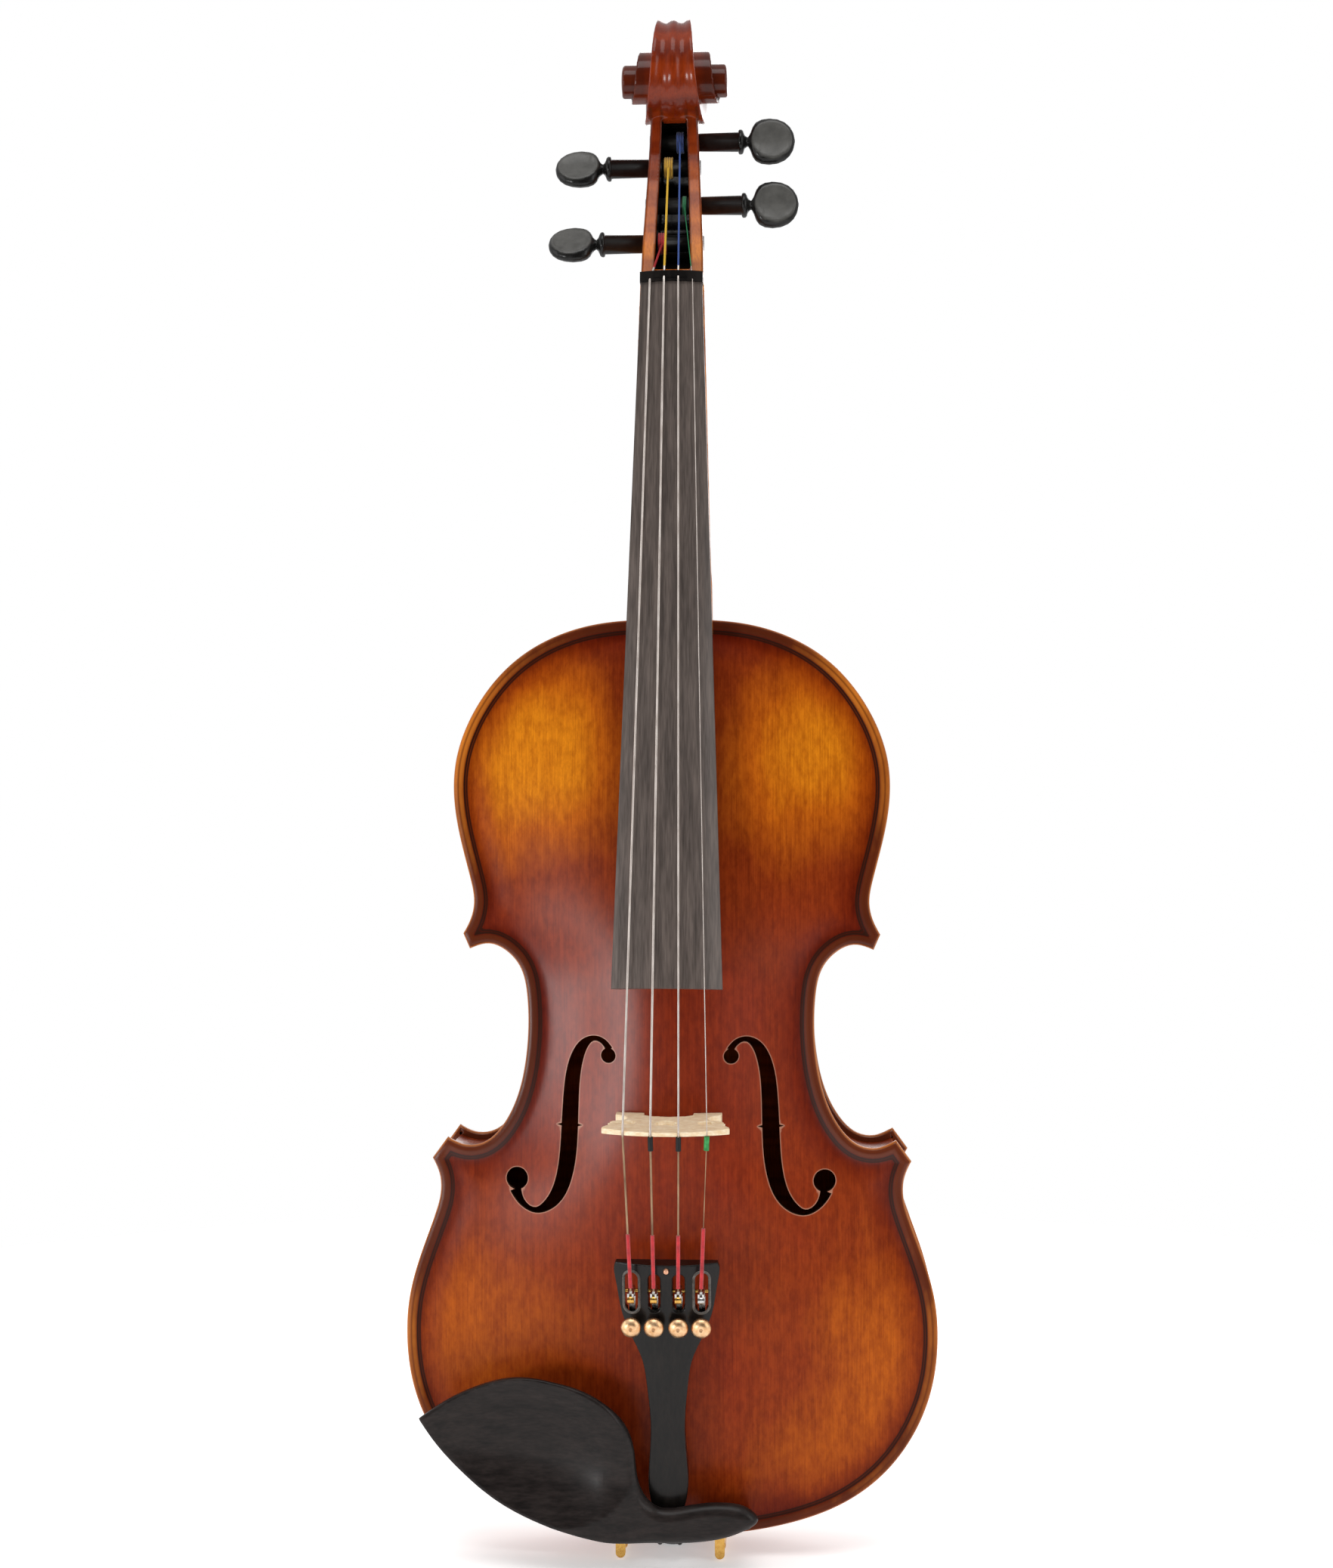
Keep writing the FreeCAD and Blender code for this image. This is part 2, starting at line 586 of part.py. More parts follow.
def make_board():
    """The fingerboard, crowned across and hollowed beneath its free end."""
    crown = size("board_crown")
    sections = []
    ends = ((size("neck_length"), size("nut_half_width") - 0.3),
            (size("neck_length") - size("board_length"), size("board_end_half_width")))
    for place, half in ends:
        edge = -size("board_edge")
        left, right = Vector(-half, edge, place), Vector(half, edge, place)
        top = Vector(0, edge - crown_drop(half, crown), place)
        sections.append(Part.Wire([
            Part.Arc(left, top, right).toShape(), Part.makeLine(right, Vector(half, 0, place)),
            Part.makeLine(Vector(half, 0, place), Vector(-half, 0, place)),
            Part.makeLine(Vector(-half, 0, place), left)]))
    board = Part.makeLoft(sections, True, True)
    hollow = Part.makeCone(22.0, 16.0, 146, Vector(0, 15.5, -156), Vector(0, 0, 1))
    feature("fingerboard", board.cut(hollow), NECK)


def make_nut():
    """The nut, grooved for the strings and sloped down towards the pegbox."""
    place = size("neck_length")
    half = size("nut_half_width")
    top = -size("nut_top") - 0.1
    arc = Part.Arc(Vector(-half, top + 1.9, 0), Vector(0, top, 0), Vector(half, top + 1.9, 0))
    wire = Part.Wire([arc.toShape(), Part.makeLine(Vector(half, top + 1.9, 0), Vector(half, 0, 0)),
                      Part.makeLine(Vector(half, 0, 0), Vector(-half, 0, 0)),
                      Part.makeLine(Vector(-half, 0, 0), Vector(-half, top + 1.9, 0))])
    nut = Part.Face(wire).extrude(Vector(0, 0, size("nut_thickness")))
    nut.translate(Vector(0, 0, place))
    slope = block((-20, 20), (-30, 0), (0, 12))
    slope.Placement = Placement(Vector(0, top + 0.6, place + 1.2), Rotation(Vector(1, 0, 0), 25))
    nut = nut.cut(slope)
    nut.Placement = NECK
    grooves = [tube(ROUTES[name][1:], GAUGE[name] + 0.02) for name in ROUTES]
    feature("nut", nut.cut(grooves))


def make_pegs():
    """The four tuning pegs, each with its string wound round it inside the pegbox."""
    for name, side, place, depth, collar, turn in PEGS:
        cheek = between(HEAD_HALF_WIDTH, place)
        shank = peg_taper(cheek + 0.3, 0).common(
            Part.makeCylinder(9, cheek + 0.3 + collar, Vector(0, 0, -cheek - 0.3)))
        collar_ring = Part.makeCylinder(size("peg_collar_radius"), size("peg_collar_height"),
                                        Vector(0, 0, collar))
        stalk = Part.makeCone(4.2, 2.0, 4.4, Vector(0, 0, collar + 2.2))
        head_radius = size("peg_head_radius")
        centre = collar + 3.2 + head_radius
        thickness = size("peg_head_thickness")
        blade = Part.makeCylinder(head_radius, thickness, Vector(0, -thickness / 2, centre),
                                  BACKWARD)
        for face in (-1, 1):
            scoop = Part.makeSphere(17.5, Vector(0, face * 18.9, centre + 1.5))
            blade = blade.cut(scoop)
        peg = shank.fuse([collar_ring, stalk, blade])
        seat = NECK.multiply(peg_axis(side, place, depth)).multiply(
            Placement(Vector(0, 0, 0), Rotation(Vector(0, 0, 1), turn)))
        feature(f"peg_{name}", peg, seat)
        gauge = GAUGE[name]
        radius = size("peg_small_radius") + 0.36 + gauge
        coils = []
        for index in range(4):
            along = side * WINDING_X[name] + (index - 1.5) * (2 * gauge + 0.05)
            coils.append(Part.makeTorus(radius, gauge, Vector(0, 0, along)))
        wound = Part.makeCompound([coil.cut(peg) for coil in coils])
        feature(f"winding_{name}", wound, NECK.multiply(peg_axis(side, place, depth)))


def make_bridge():
    """The bridge, cut from a wedge of maple, its feet fitted to the arch."""
    height = size("bridge_height")
    crown = size("board_crown")
    half = size("bridge_half_width")
    side = [(half, height - crown_drop(half, crown)), (half - 0.4, 23.4), (21.4, 20.2),
            (22.3, 17.2), (20.8, 14.6), (16.4, 12.6), (15.2, 10.2), (16.4, 6.6), (20.2, 4.2),
            (20.4, -6), (9.6, -6), (9.4, 4.4), (6.4, 6.6), (0, 7.4)]
    level = -APEX

    def at(x, up):
        """A corner of the bridge at a height over the top of the arch."""
        return Vector(x, level - up, 0)

    right = [at(x, up) for x, up in side]
    left = [at(-x, up) for x, up in reversed(side)][1:]
    arc = Part.Arc(left[-1], at(0, height), right[0]).toShape()
    outline_edges = [arc, Part.makePolygon(right + left)]
    wire = Part.Wire([outline_edges[0]] + outline_edges[1].Edges)
    plate = Part.Face(wire).extrude(Vector(0, 0, size("bridge_foot")))
    heart = Part.makeCylinder(3.1, 10, Vector(0, level - 16.5, -2)).fuse([
        Part.makeCylinder(2.3, 10, Vector(-2.3, level - 19, -2)),
        Part.makeCylinder(2.3, 10, Vector(2.3, level - 19, -2))])
    kidney = Part.makeCylinder(2.9, 10, Vector(14.6, level - 16.8, -2)).fuse(
        block((14.6, 30), (level - 17.6, level - 16), (-2, 8)))
    plate = plate.cut([heart, kidney, mirrored(kidney)])
    foot, top = size("bridge_foot"), size("bridge_crown_thickness")
    wedge_side = [Vector(-40, level + 12, foot + 0.001), Vector(-40, level - 4, foot),
                  Vector(-40, level - height - 0.6, top), Vector(-40, level - height - 9, top),
                  Vector(-40, level - height - 9, foot + 9), Vector(-40, level + 12, foot + 9)]
    wedge = Part.Face(Part.makePolygon(wedge_side + wedge_side[:1])).extrude(Vector(80, 0, 0))
    plate = plate.cut(wedge)
    plate.translate(Vector(0, 0, size("bridge_place")))
    grooves = [tube(ROUTES[name][:3], GAUGE[name] + 0.02) for name in ROUTES]
    under = block((-40, 40), (-60, 0), (140, 190)).common(BEHIND_FRONT)
    feature("bridge", plate.cut(grooves + [under]))


# ---------------------------------------------------------------- tailpiece and adjusters

TAILPIECE_SIDE = [(5.4, 0), (7.1, 6), (6.9, 24), (6.7, 40), (7.7, 50), (9.6, 61.5),
                  (13.4, 70), (17.1, 79.5), (19.4, 92), (19.8, 97.5), (19.2, 99)]
TAILPIECE_BOTTOM = 7.0


def lever_shape(name):
    """A rocking lever: hook above the pivot, long arm under the screw."""
    x = ADJUSTER_X[name]
    pivot_place, pivot_depth = size("pivot_place"), size("pivot_depth")
    hook = block((x - 1.2, x + 1.2), (-4.4, pivot_depth), (88.2, 89.6))
    arm = block((x - 1.2, x + 1.2), (pivot_depth + 0.7, pivot_depth + 2.1),
                (size("adjuster_place") - 0.8, pivot_place))
    boss = Part.makeCylinder(2.1, 2.4, Vector(x - 1.2, pivot_depth, pivot_place),
                             Vector(1, 0, 0))
    bore = Part.makeCylinder(size("pivot_radius") + 0.05, 6,
                             Vector(x - 3, pivot_depth, pivot_place), Vector(1, 0, 0))
    fork = block((x - 0.5, x + 0.5), (-5, -1.9), (88, 90))
    return hook.fuse([arm, boss]).cut([bore, fork])


def make_tailpiece():
    """The tailpiece with its slots, lever channels and screw holes."""
    crown = size("tailpiece_crown")
    right = [Vector(x, -1, place) for x, place in TAILPIECE_SIDE]
    left = [Vector(-x, -1, place) for x, place in reversed(TAILPIECE_SIDE)]
    wire = Part.Wire([spline(right), Part.makeLine(right[-1], left[0]), spline(left),
                      Part.makeLine(left[-1], right[0])])
    solid = Part.Face(wire).extrude(Vector(0, TAILPIECE_BOTTOM + 1, 0))
    solid = solid.common(Part.makeCylinder(crown, 120, Vector(0, crown, -5)))
    pins = []
    for name, x in ADJUSTER_X.items():
        half = 2.7 if abs(x) > 8 else 2.3
        slot = block((x - half, x + half), (-5, 10), (82.6, 93.2)).fuse([
            Part.makeCylinder(half, 15, Vector(x, -5, 82.6), BACKWARD),
            Part.makeCylinder(half, 15, Vector(x, -5, 93.2), BACKWARD)])
        channel = block((x - 1.6, x + 1.6), (3.2, 10), (size("adjuster_place") - 1.5, 92))
        hole = Part.makeCylinder(size("stem_radius") + 0.06, 20,
                                 Vector(x, -8, size("adjuster_place")), BACKWARD)
        pin = Part.makeCylinder(size("pivot_radius"), 2 * half + 1.4,
                                Vector(x - half - 0.7, size("pivot_depth"), size("pivot_place")),
                                Vector(1, 0, 0))
        solid = solid.cut([slot, channel, hole, pin])
        pins.append(pin)
    gut_holes = [rod(Vector(x, 3.6, -3), Vector(x, 3.6, 12), size("gut_radius") + 0.03)
                 for x in (-3.4, 3.4)]
    stud_seat = Part.makeCylinder(1.0, 3, Vector(0, -0.5, size("tailpiece_length") - 2.2),
                                  BACKWARD)
    feature("tailpiece", solid.cut(gut_holes + [stud_seat]), TAILPIECE)
    feature("adjuster_pins", Part.makeCompound(pins), TAILPIECE)
    stud_place = TAILPIECE.multiply(Placement(Vector(0, 2.5, size("tailpiece_length") - 2.2),
                                              Rotation(Vector(1, 0, 0), 90)))
    turned("tailpiece_stud", [("0", "0"), ("1.0", "0"), ("1.0", "2.55"), ("1.2", "2.55"),
                              ("0.9", "3.2"), ("0", "3.4")], stud_place)


def make_adjusters():
    """Screw, domed head, lever and string end of each of the four fine adjusters."""
    under = -size("adjuster_travel") - size("knob_gap")
    for name, x in ADJUSTER_X.items():
        seat = TAILPIECE.multiply(Placement(Vector(x, under, size("adjuster_place")),
                                            Rotation(Vector(1, 0, 0), 90)))
        turned(f"adjuster_knob_{name}",
               [("knob_bore", "0"), ("knob_radius - 0.3", "0"), ("knob_radius", "0.3"),
                ("knob_radius", "knob_height * 0.45"), ("knob_radius * 0.86", "knob_height * 0.72"),
                ("knob_radius * 0.55", "knob_height * 0.93"), ("0", "knob_height"),
                ("0", "knob_height * 0.6"), ("knob_bore", "knob_height * 0.6")], seat)
        stem = DOC.addObject("Part::Cylinder", f"adjuster_stem_{name}")
        stem.setExpression("Radius", bound("stem_radius"))
        stem.setExpression("Height", bound("stem_tip + adjuster_travel + knob_gap + knob_grip"))
        keep(stem, f"adjuster_stem_{name}", TAILPIECE.multiply(
            Placement(Vector(x, size("stem_tip"), size("adjuster_place")),
                      Rotation(Vector(1, 0, 0), 90))))
        feature(f"adjuster_lever_{name}", lever_shape(name), TAILPIECE)
        ball = Part.makeCylinder(size("ball_radius"), 2.4, Vector(x - 1.2, -2.6, 86.7),
                                 Vector(1, 0, 0))
        feature(f"string_ball_{name}", ball.cut(lever_shape(name)), TAILPIECE)


def make_strings():
    """Strings in one piece each, with coloured silk, bridge sleeves and peg windings."""
    silks, sleeves = [], []
    for name, route in ROUTES.items():
        gauge = GAUGE[name]
        cord = tube(route, gauge)
        feature(f"string_{name}", cord)
        hook, bridge = route[0], route[1]
        towards = bridge - hook
        towards.normalize()
        silk_length = 22.0 if name != "e" else 24.5
        silks.append(rod(hook + towards * 1.2, hook + towards * silk_length,
                         size("silk_radius")).cut(cord))
        if name != "g":
            sleeve_end = bridge - towards * 6.2
            sleeves.append(rod(sleeve_end, bridge - towards * 1.0,
                               size("sleeve_radius")).cut(cord))
    feature("string_silks", Part.makeCompound(silks))
    feature("string_sleeves", Part.makeCompound(sleeves))


def make_tail_end():
    """Saddle, tail gut and end button."""
    padded("saddle", "XZ_Plane",
           [("-saddle_half_width", "0.9"), ("saddle_half_width", "0.9"),
            ("saddle_half_width", "saddle_height + 1"),
            ("-saddle_half_width", "saddle_height + 1")],
           "edge_thickness + 5", Placement(Vector(0, -JOINT - 4.5, 0), Rotation()))
    gut = size("gut_radius")
    outer = size("button_neck_radius") + gut + 0.12
    route = []
    for side in (-1, 1):
        run = [in_tailpiece(side * 3.4, 3.6, 10), in_tailpiece(side * 3.4, 3.6, 0),
               Vector(side * 3.6, -JOINT - 9.05 - gut, 5.6),
               Vector(side * 3.7, -JOINT - 9.05 - gut, 0.7),
               Vector(side * 3.8, -JOINT - 9.5, -0.5), Vector(side * 4.2, -JOINT, -1.4)]
        route.append(run)
    loop = []
    for step in range(9):
        turn = math.pi * (1 + step / 8)
        loop.append(Vector(outer * math.cos(turn), -outer * math.sin(turn), -1.4))
    route = route[0] + loop + route[1][::-1]
    feature("tail_gut", tube(route, gut))
    turned("end_button",
           [("0", "shank_depth"), ("shank_radius", "shank_depth"), ("shank_radius", "overhang"),
            ("button_neck_radius", "overhang"), ("button_neck_radius", "button_neck_end"),
            ("button_head_radius - 0.5", "button_neck_end"),
            ("button_head_radius", "button_neck_end - 0.6"),
            ("button_head_radius", "button_head_end + 1.6"),
            ("button_head_radius - 1.6", "button_head_end + 0.2"), ("0", "button_head_end")],
           Placement())


# ---------------------------------------------------------------- chin rest

# Outline of the chin rest seen from the front, anticlockwise from the cup's far end.
CHIN_REST = [(-94.6, 50.8), (-89.9, 43.1), (-79.5, 30.9), (-64, 18.7), (-43.3, 9.8),
             (-22.6, 4.7), (-2.1, 3.4), (19.5, 5.2), (29.8, 8.9), (34.4, 13.1), (31.9, 16.4),
             (23.7, 19.1), (8.3, 18), (-4.7, 17.8), (-9.3, 22.7), (-11.9, 31.9), (-13.3, 42.2),
             (-17.5, 51.3), (-24.3, 57.8), (-32.9, 62.4), (-44.5, 65.6), (-55.7, 66.8),
             (-70.6, 63.6), (-82.3, 58.5)]
REST_FRONT = -46.5
REST_UNDER = -37.6
REST_TILT = 14.2
# Half axes of the ellipsoids that shape the cup: along it, deep, and across it.
REST_DISH = (37, 8.5, 20.5)
REST_BELLY = (52, 14, 36)


def ellipsoid(half_axes):
    """An ellipsoid at the middle of the cup, turned in line with it."""
    stretch = FreeCAD.Matrix()
    stretch.scale(*half_axes)
    solid = Part.makeSphere(1.0).transformGeometry(stretch)
    solid.Placement = Placement(Vector(-54, REST_FRONT, 40),
                                Rotation(Vector(0, 1, 0), REST_TILT))
    return solid


def make_chin_rest():
    """The dished rest, its feet over both sides of the tailpiece, cork and screw clamp."""
    curve = Part.BSplineCurve()
    curve.interpolate([Vector(x, REST_FRONT, z) for x, z in CHIN_REST], PeriodicFlag=True)
    plate = Part.Face(Part.Wire([curve.toShape()])).extrude(Vector(0, 14, 0))
    dish = ellipsoid(REST_DISH)
    belly = ellipsoid(REST_BELLY)
    cup_side = block((-120, -12), (-60, 0), (-10, 90))
    cup = plate.common(cup_side).common(belly).cut(dish)
    bar = plate.common(block((-14, 60), (-43.5, REST_UNDER), (-10, 90)))
    inlay = ring(size("purfling_inset"), size("purfling_inset") + size("purfling_width"),
                 -EDGE - PURFLING_PROUD, -EDGE + 1)
    feet, cork = [], []
    cork_front = -EDGE - size("cork_thickness")
    footprint = Part.Face(Part.Wire([curve.toShape()])).extrude(Vector(0, 40, 0))
    for low, high in ((-46, -11.5), (11.5, 31)):
        feet.append(footprint.common(block((low, high), (REST_UNDER - 3, cork_front), (0, 10.5))))
        pad = footprint.common(block((low, high), (cork_front, -EDGE + 2), (0, 10.5)))
        cork.append(pad.cut(BEHIND_FRONT).cut(inlay))
    rest = cup.fuse([bar] + feet)
    spread, place = size("clamp_spread"), size("clamp_place")
    legs = []
    for side in (-1, 1):
        x = side * spread
        half, front = size("leg_half_width"), cork_front - size("foot_thickness")
        leg = block((x - half, x + half), (front, cork_front), (place, 10))
        round_end = Part.makeCylinder(half, size("foot_thickness"), Vector(x, front, place),
                                      BACKWARD)
        stud = rod(Vector(x, cork_front - 0.5, place), Vector(x, -3.6, place),
                   size("stud_radius"))
        legs.append(leg.fuse([round_end, stud]))
    feature("chin_rest", rest.cut(legs))
    feature("chin_rest_cork", Part.makeCompound(cork))
    feature("clamp_legs", Part.makeCompound(legs))


def make_clamp():
    """Barrels with opposed threads, and the foot that they draw against the back."""
    spread, place = size("clamp_spread"), size("clamp_place")
    for label, side in (("clamp_barrel_bass", -1), ("clamp_barrel_treble", 1)):
        seat = Placement(Vector(side * spread, size("barrel_start"), place),
                         Rotation(Vector(1, 0, 0), -90))
        blank = DOC.addObject("Part::Cylinder", label + "_blank")
        blank.setExpression("Radius", bound("barrel_radius"))
        blank.setExpression("Height", bound("barrel_length"))
        bore = DOC.addObject("Part::Cylinder", label + "_bore")
        bore.setExpression("Radius", bound("barrel_bore"))
        bore.setExpression("Height", bound("barrel_length"))
        key_hole = DOC.addObject("Part::Cylinder", label + "_key_hole")
        key_hole.Radius = 0.6
        key_hole.setExpression("Height", bound("barrel_radius * 2.4"))
        key_hole.Placement = Placement(Vector(0, 2.4, 10), Rotation(Vector(1, 0, 0), 90))
        bored = DOC.addObject("Part::Cut", label + "_bored")
        bored.Base, bored.Tool = blank, bore
        barrel = DOC.addObject("Part::Cut", label)
        barrel.Base, barrel.Tool = bored, key_hole
        keep(barrel, label, seat)
    cork = size("cork_thickness")
    foot = block((-spread - 3, spread + 3), (EDGE + cork, EDGE + cork + size("foot_thickness")),
                 (place - 2.4, 7.5))
    hidden = prism(0, -60, 60)
    studs = [rod(Vector(side * spread, 0.6, place),
                 Vector(side * spread, EDGE + cork + 0.6, place), size("stud_radius"))
             for side in (-1, 1)]
    feature("clamp_foot", foot.fuse(studs))
    pad = block((-spread - 3, spread + 3), (EDGE, EDGE + cork), (0, 7.5)).common(hidden)
    feature("clamp_foot_cork", pad.cut(BEFORE_BACK))


# ---------------------------------------------------------------- assembly and export

make_plates()
make_ribs_and_blocks()
make_bar_and_post()
feature("neck", NECK_SOLID)
make_board()
make_nut()
make_pegs()
make_bridge()
make_tailpiece()
make_adjusters()
make_strings()
make_tail_end()
make_chin_rest()
make_clamp()
DOC.recompute()

for item in DOC.Objects:
    if {"Invalid", "Error"} & set(item.State):
        raise RuntimeError(f"{item.Label} failed: {item.State}")
os.makedirs("parts", exist_ok=True)
for item in PARTS:
    if item.Shape.isNull() or not item.Shape.isValid() or item.Shape.Volume <= 0:
        raise RuntimeError(f"{item.Label} has no valid solid")
    item.Shape.exportStep(f"parts/{item.Label}.step")
print(f"{len(PARTS)} sub-parts written")
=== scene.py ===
"""A strung and varnished violin with its chin rest, standing upright on a pale floor.

Frame: Z runs up from the tail to the scroll, X to the treble side and Y from the front to the
back.  Shapes are worked out in millimetres and stored in metres.
"""
import bpy
import math
import numpy as np
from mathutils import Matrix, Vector
from mathutils.geometry import delaunay_2d_cdt


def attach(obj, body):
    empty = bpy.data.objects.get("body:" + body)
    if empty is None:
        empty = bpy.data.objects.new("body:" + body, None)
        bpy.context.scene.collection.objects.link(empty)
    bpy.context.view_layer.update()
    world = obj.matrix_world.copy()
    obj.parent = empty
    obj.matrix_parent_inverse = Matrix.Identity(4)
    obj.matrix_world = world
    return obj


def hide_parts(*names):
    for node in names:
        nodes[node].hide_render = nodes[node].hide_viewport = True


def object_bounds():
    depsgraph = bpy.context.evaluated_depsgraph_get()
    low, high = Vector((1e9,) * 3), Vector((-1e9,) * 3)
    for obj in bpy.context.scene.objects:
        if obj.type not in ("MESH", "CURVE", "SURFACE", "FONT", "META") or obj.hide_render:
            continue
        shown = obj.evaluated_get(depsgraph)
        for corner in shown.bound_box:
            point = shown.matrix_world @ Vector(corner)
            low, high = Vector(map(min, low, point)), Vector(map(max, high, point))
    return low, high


MM = 0.001
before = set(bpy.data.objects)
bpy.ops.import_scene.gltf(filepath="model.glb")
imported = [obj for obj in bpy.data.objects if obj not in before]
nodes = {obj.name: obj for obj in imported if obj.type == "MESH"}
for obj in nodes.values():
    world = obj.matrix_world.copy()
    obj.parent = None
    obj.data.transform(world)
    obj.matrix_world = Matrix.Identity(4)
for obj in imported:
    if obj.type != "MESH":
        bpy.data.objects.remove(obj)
cad_box = [list(corner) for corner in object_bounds()]

BODY_LENGTH = 356.0
JOINT = 15.5  # half the height of the ribs
EDGE = 19.5  # outer face of either plate along its edge
ARCH_RISE = 12.0
PLATE = 3.0  # thickness of the arched plates
BUTTON_RADIUS = 10.2
BUTTON_RISE = 1.3  # the button's centre above the body's upper end
OUTLINE_STEP = 1.6  # between points round a plate
GRID_STEP = 2.4  # between points over a plate
NECK_FRONT = -EDGE - 6  # Y of the neck's own front plane at the body's upper end


# ---- curves and tables

def spline(points, count):
    """Points spaced along a smooth curve through the given ones (natural cubic)."""
    knots = np.array(points, float)
    steps = np.sqrt((np.diff(knots, axis=0) ** 2).sum(1))
    at = np.concatenate([[0], np.cumsum(steps)])
    size = len(knots)
    matrix = np.zeros((size, size))
    right = np.zeros_like(knots)
    matrix[0, 0] = matrix[-1, -1] = 1
    for i in range(1, size - 1):
        matrix[i, i - 1:i + 2] = steps[i - 1], 2 * (steps[i - 1] + steps[i]), steps[i]
        right[i] = 6 * ((knots[i + 1] - knots[i]) / steps[i]
                        - (knots[i] - knots[i - 1]) / steps[i - 1])
    bend = np.linalg.solve(matrix, right)
    found = []
    for where in np.linspace(0, at[-1], count):
        i = min(int(np.searchsorted(at, where, "right")) - 1, size - 2)
        low, high, step = where - at[i], at[i + 1] - where, steps[i]
        found.append(bend[i] * high ** 3 / (6 * step) + bend[i + 1] * low ** 3 / (6 * step)
                     + (knots[i] / step - bend[i] * step / 6) * high
                     + (knots[i + 1] / step - bend[i + 1] * step / 6) * low)
    return np.array(found)


def along(table, place):
    """Straight interpolation in a list of (place, value) pairs."""
    return np.interp(place, [row[0] for row in table], [row[1] for row in table])


UPPER_BOUT = [
    (0, 356), (31.5, 353.7), (58.8, 341.6), (76, 322), (84.4, 299), (84.7, 285), (82.2, 270),
    (78.4, 255), (77, 245.5), (78.6, 238.6), (81.2, 233.6)]
WAIST = [(78.6, 227.6), (71, 229.6), (64, 226.6), (58.6, 220), (56.2, 210), (55.7, 198),
         (56.8, 184), (60.4, 169), (66, 158.4), (73, 152.2), (80, 151.2), (87.2, 154.2)]
LOWER_BOUT = [
    (93.2, 146), (90.6, 140), (90, 133), (92.4, 123.5), (98.3, 107), (102.4, 91), (103.3, 76),
    (101, 58), (94.7, 41.6), (82.7, 25.2), (66, 12.9), (44.3, 4.9), (22, 1), (0, 0)]
ARCH_WIDTH = [
    (0, 8), (11, 38), (20, 60), (40, 82), (60, 92), (80, 95.5), (110, 90), (135, 78), (152, 63),
    (175, 52), (200, 49), (220, 53), (240, 65), (262, 73), (289, 77), (315, 70), (333, 55),
    (345, 32), (356, 10)]


def plate_outline(button):
    """The closed outline of a plate, clockwise from the top; the back has the button."""
    parts = []
    for table in (UPPER_BOUT, WAIST, LOWER_BOUT):
        rough = spline(table, 60)
        length = np.sqrt((np.diff(rough, axis=0) ** 2).sum(1)).sum()
        parts.append(spline(table, max(int(length / OUTLINE_STEP), 2)))
    upper, waist, lower = parts
    right = np.vstack([upper, (upper[-1] + waist[0]) / 2, waist,
                       (waist[-1] + lower[0]) / 2, lower])
    if button:
        turns = np.radians(np.linspace(90, -9, 12))
        arc = np.column_stack([BUTTON_RADIUS * np.cos(turns),
                               BODY_LENGTH + BUTTON_RISE + BUTTON_RADIUS * np.sin(turns)])
        clear = int(np.argmax(right[:, 0] > BUTTON_RADIUS + 0.4))
        right = np.vstack([arc, right[clear:]])
    left = right[1:-1][::-1] * [-1, 1]
    return np.vstack([right, left])


def unit(rows):
    """Each row at a length of one."""
    return rows / np.linalg.norm(rows, axis=1)[:, None]


def drawn_in(loop, inset):
    """The loop's points moved inwards along the bisector of their two edges."""
    before = unit(loop - np.roll(loop, 1, axis=0))
    run = unit(before + np.roll(before, -1, axis=0))
    spread = np.clip((run * before).sum(1), 0.6, 1)[:, None]
    return loop + np.column_stack([run[:, 1], -run[:, 0]]) * inset / spread


def distance_to(points, loop):
    """Distance from each point to the nearest place on a closed loop."""
    run = np.roll(loop, -1, axis=0) - loop
    length = (run ** 2).sum(1)
    best = np.full(len(points), 1e9)
    for a, r, l in zip(loop, run, length):
        share = np.clip(((points - a) @ r) / l, 0, 1)
        gap = points - (a + share[:, None] * r)
        best = np.minimum(best, (gap ** 2).sum(1))
    return np.sqrt(best)


def inside(points, loop):
    """Which points lie inside a closed loop."""
    found = np.zeros(len(points), bool)
    x, z = points[:, 0], points[:, 1]
    for (x0, z0), (x1, z1) in zip(loop, np.roll(loop, -1, axis=0)):
        if z0 == z1:
            continue
        crosses = (z0 > z) != (z1 > z)
        found ^= crosses & (x < (x1 - x0) * (z - z0) / (z1 - z0) + x0)
    return found


ARCH_CURVE = spline(ARCH_WIDTH, 240)


def arch(x, z):
    """Share of the full arch height at each point of a plate."""
    across = np.minimum(np.abs(x) / along(ARCH_CURVE, z), 1)
    down = np.minimum(np.abs(z - BODY_LENGTH / 2) / (BODY_LENGTH / 2), 1)
    return (0.5 + 0.5 * np.cos(np.pi * across)) ** 0.8 * (1 - down ** 2.6)


# Depth below the flat of the edge, by distance from the outline: bead, then channel.
EDGE_SHAPE = [
    (0.9, 0.25), (1.5, 0.06), (2.4, 0.0), (3.4, 0.16), (4.2, 0.34), (5.4, 0.52), (6.8, 0.58),
    (8.6, 0.48), (11.5, 0.2), (15, 0.0)]
# The rim below the bead: how far in from the outline, and depth below the flat of the edge.
RIM_SHAPE = [
    (0.42, 0.7), (0.1, 1.4), (0.03, 2.1), (0.14, 2.9), (0.55, 3.6), (1.1, 3.9), (3.4, 4.0)]

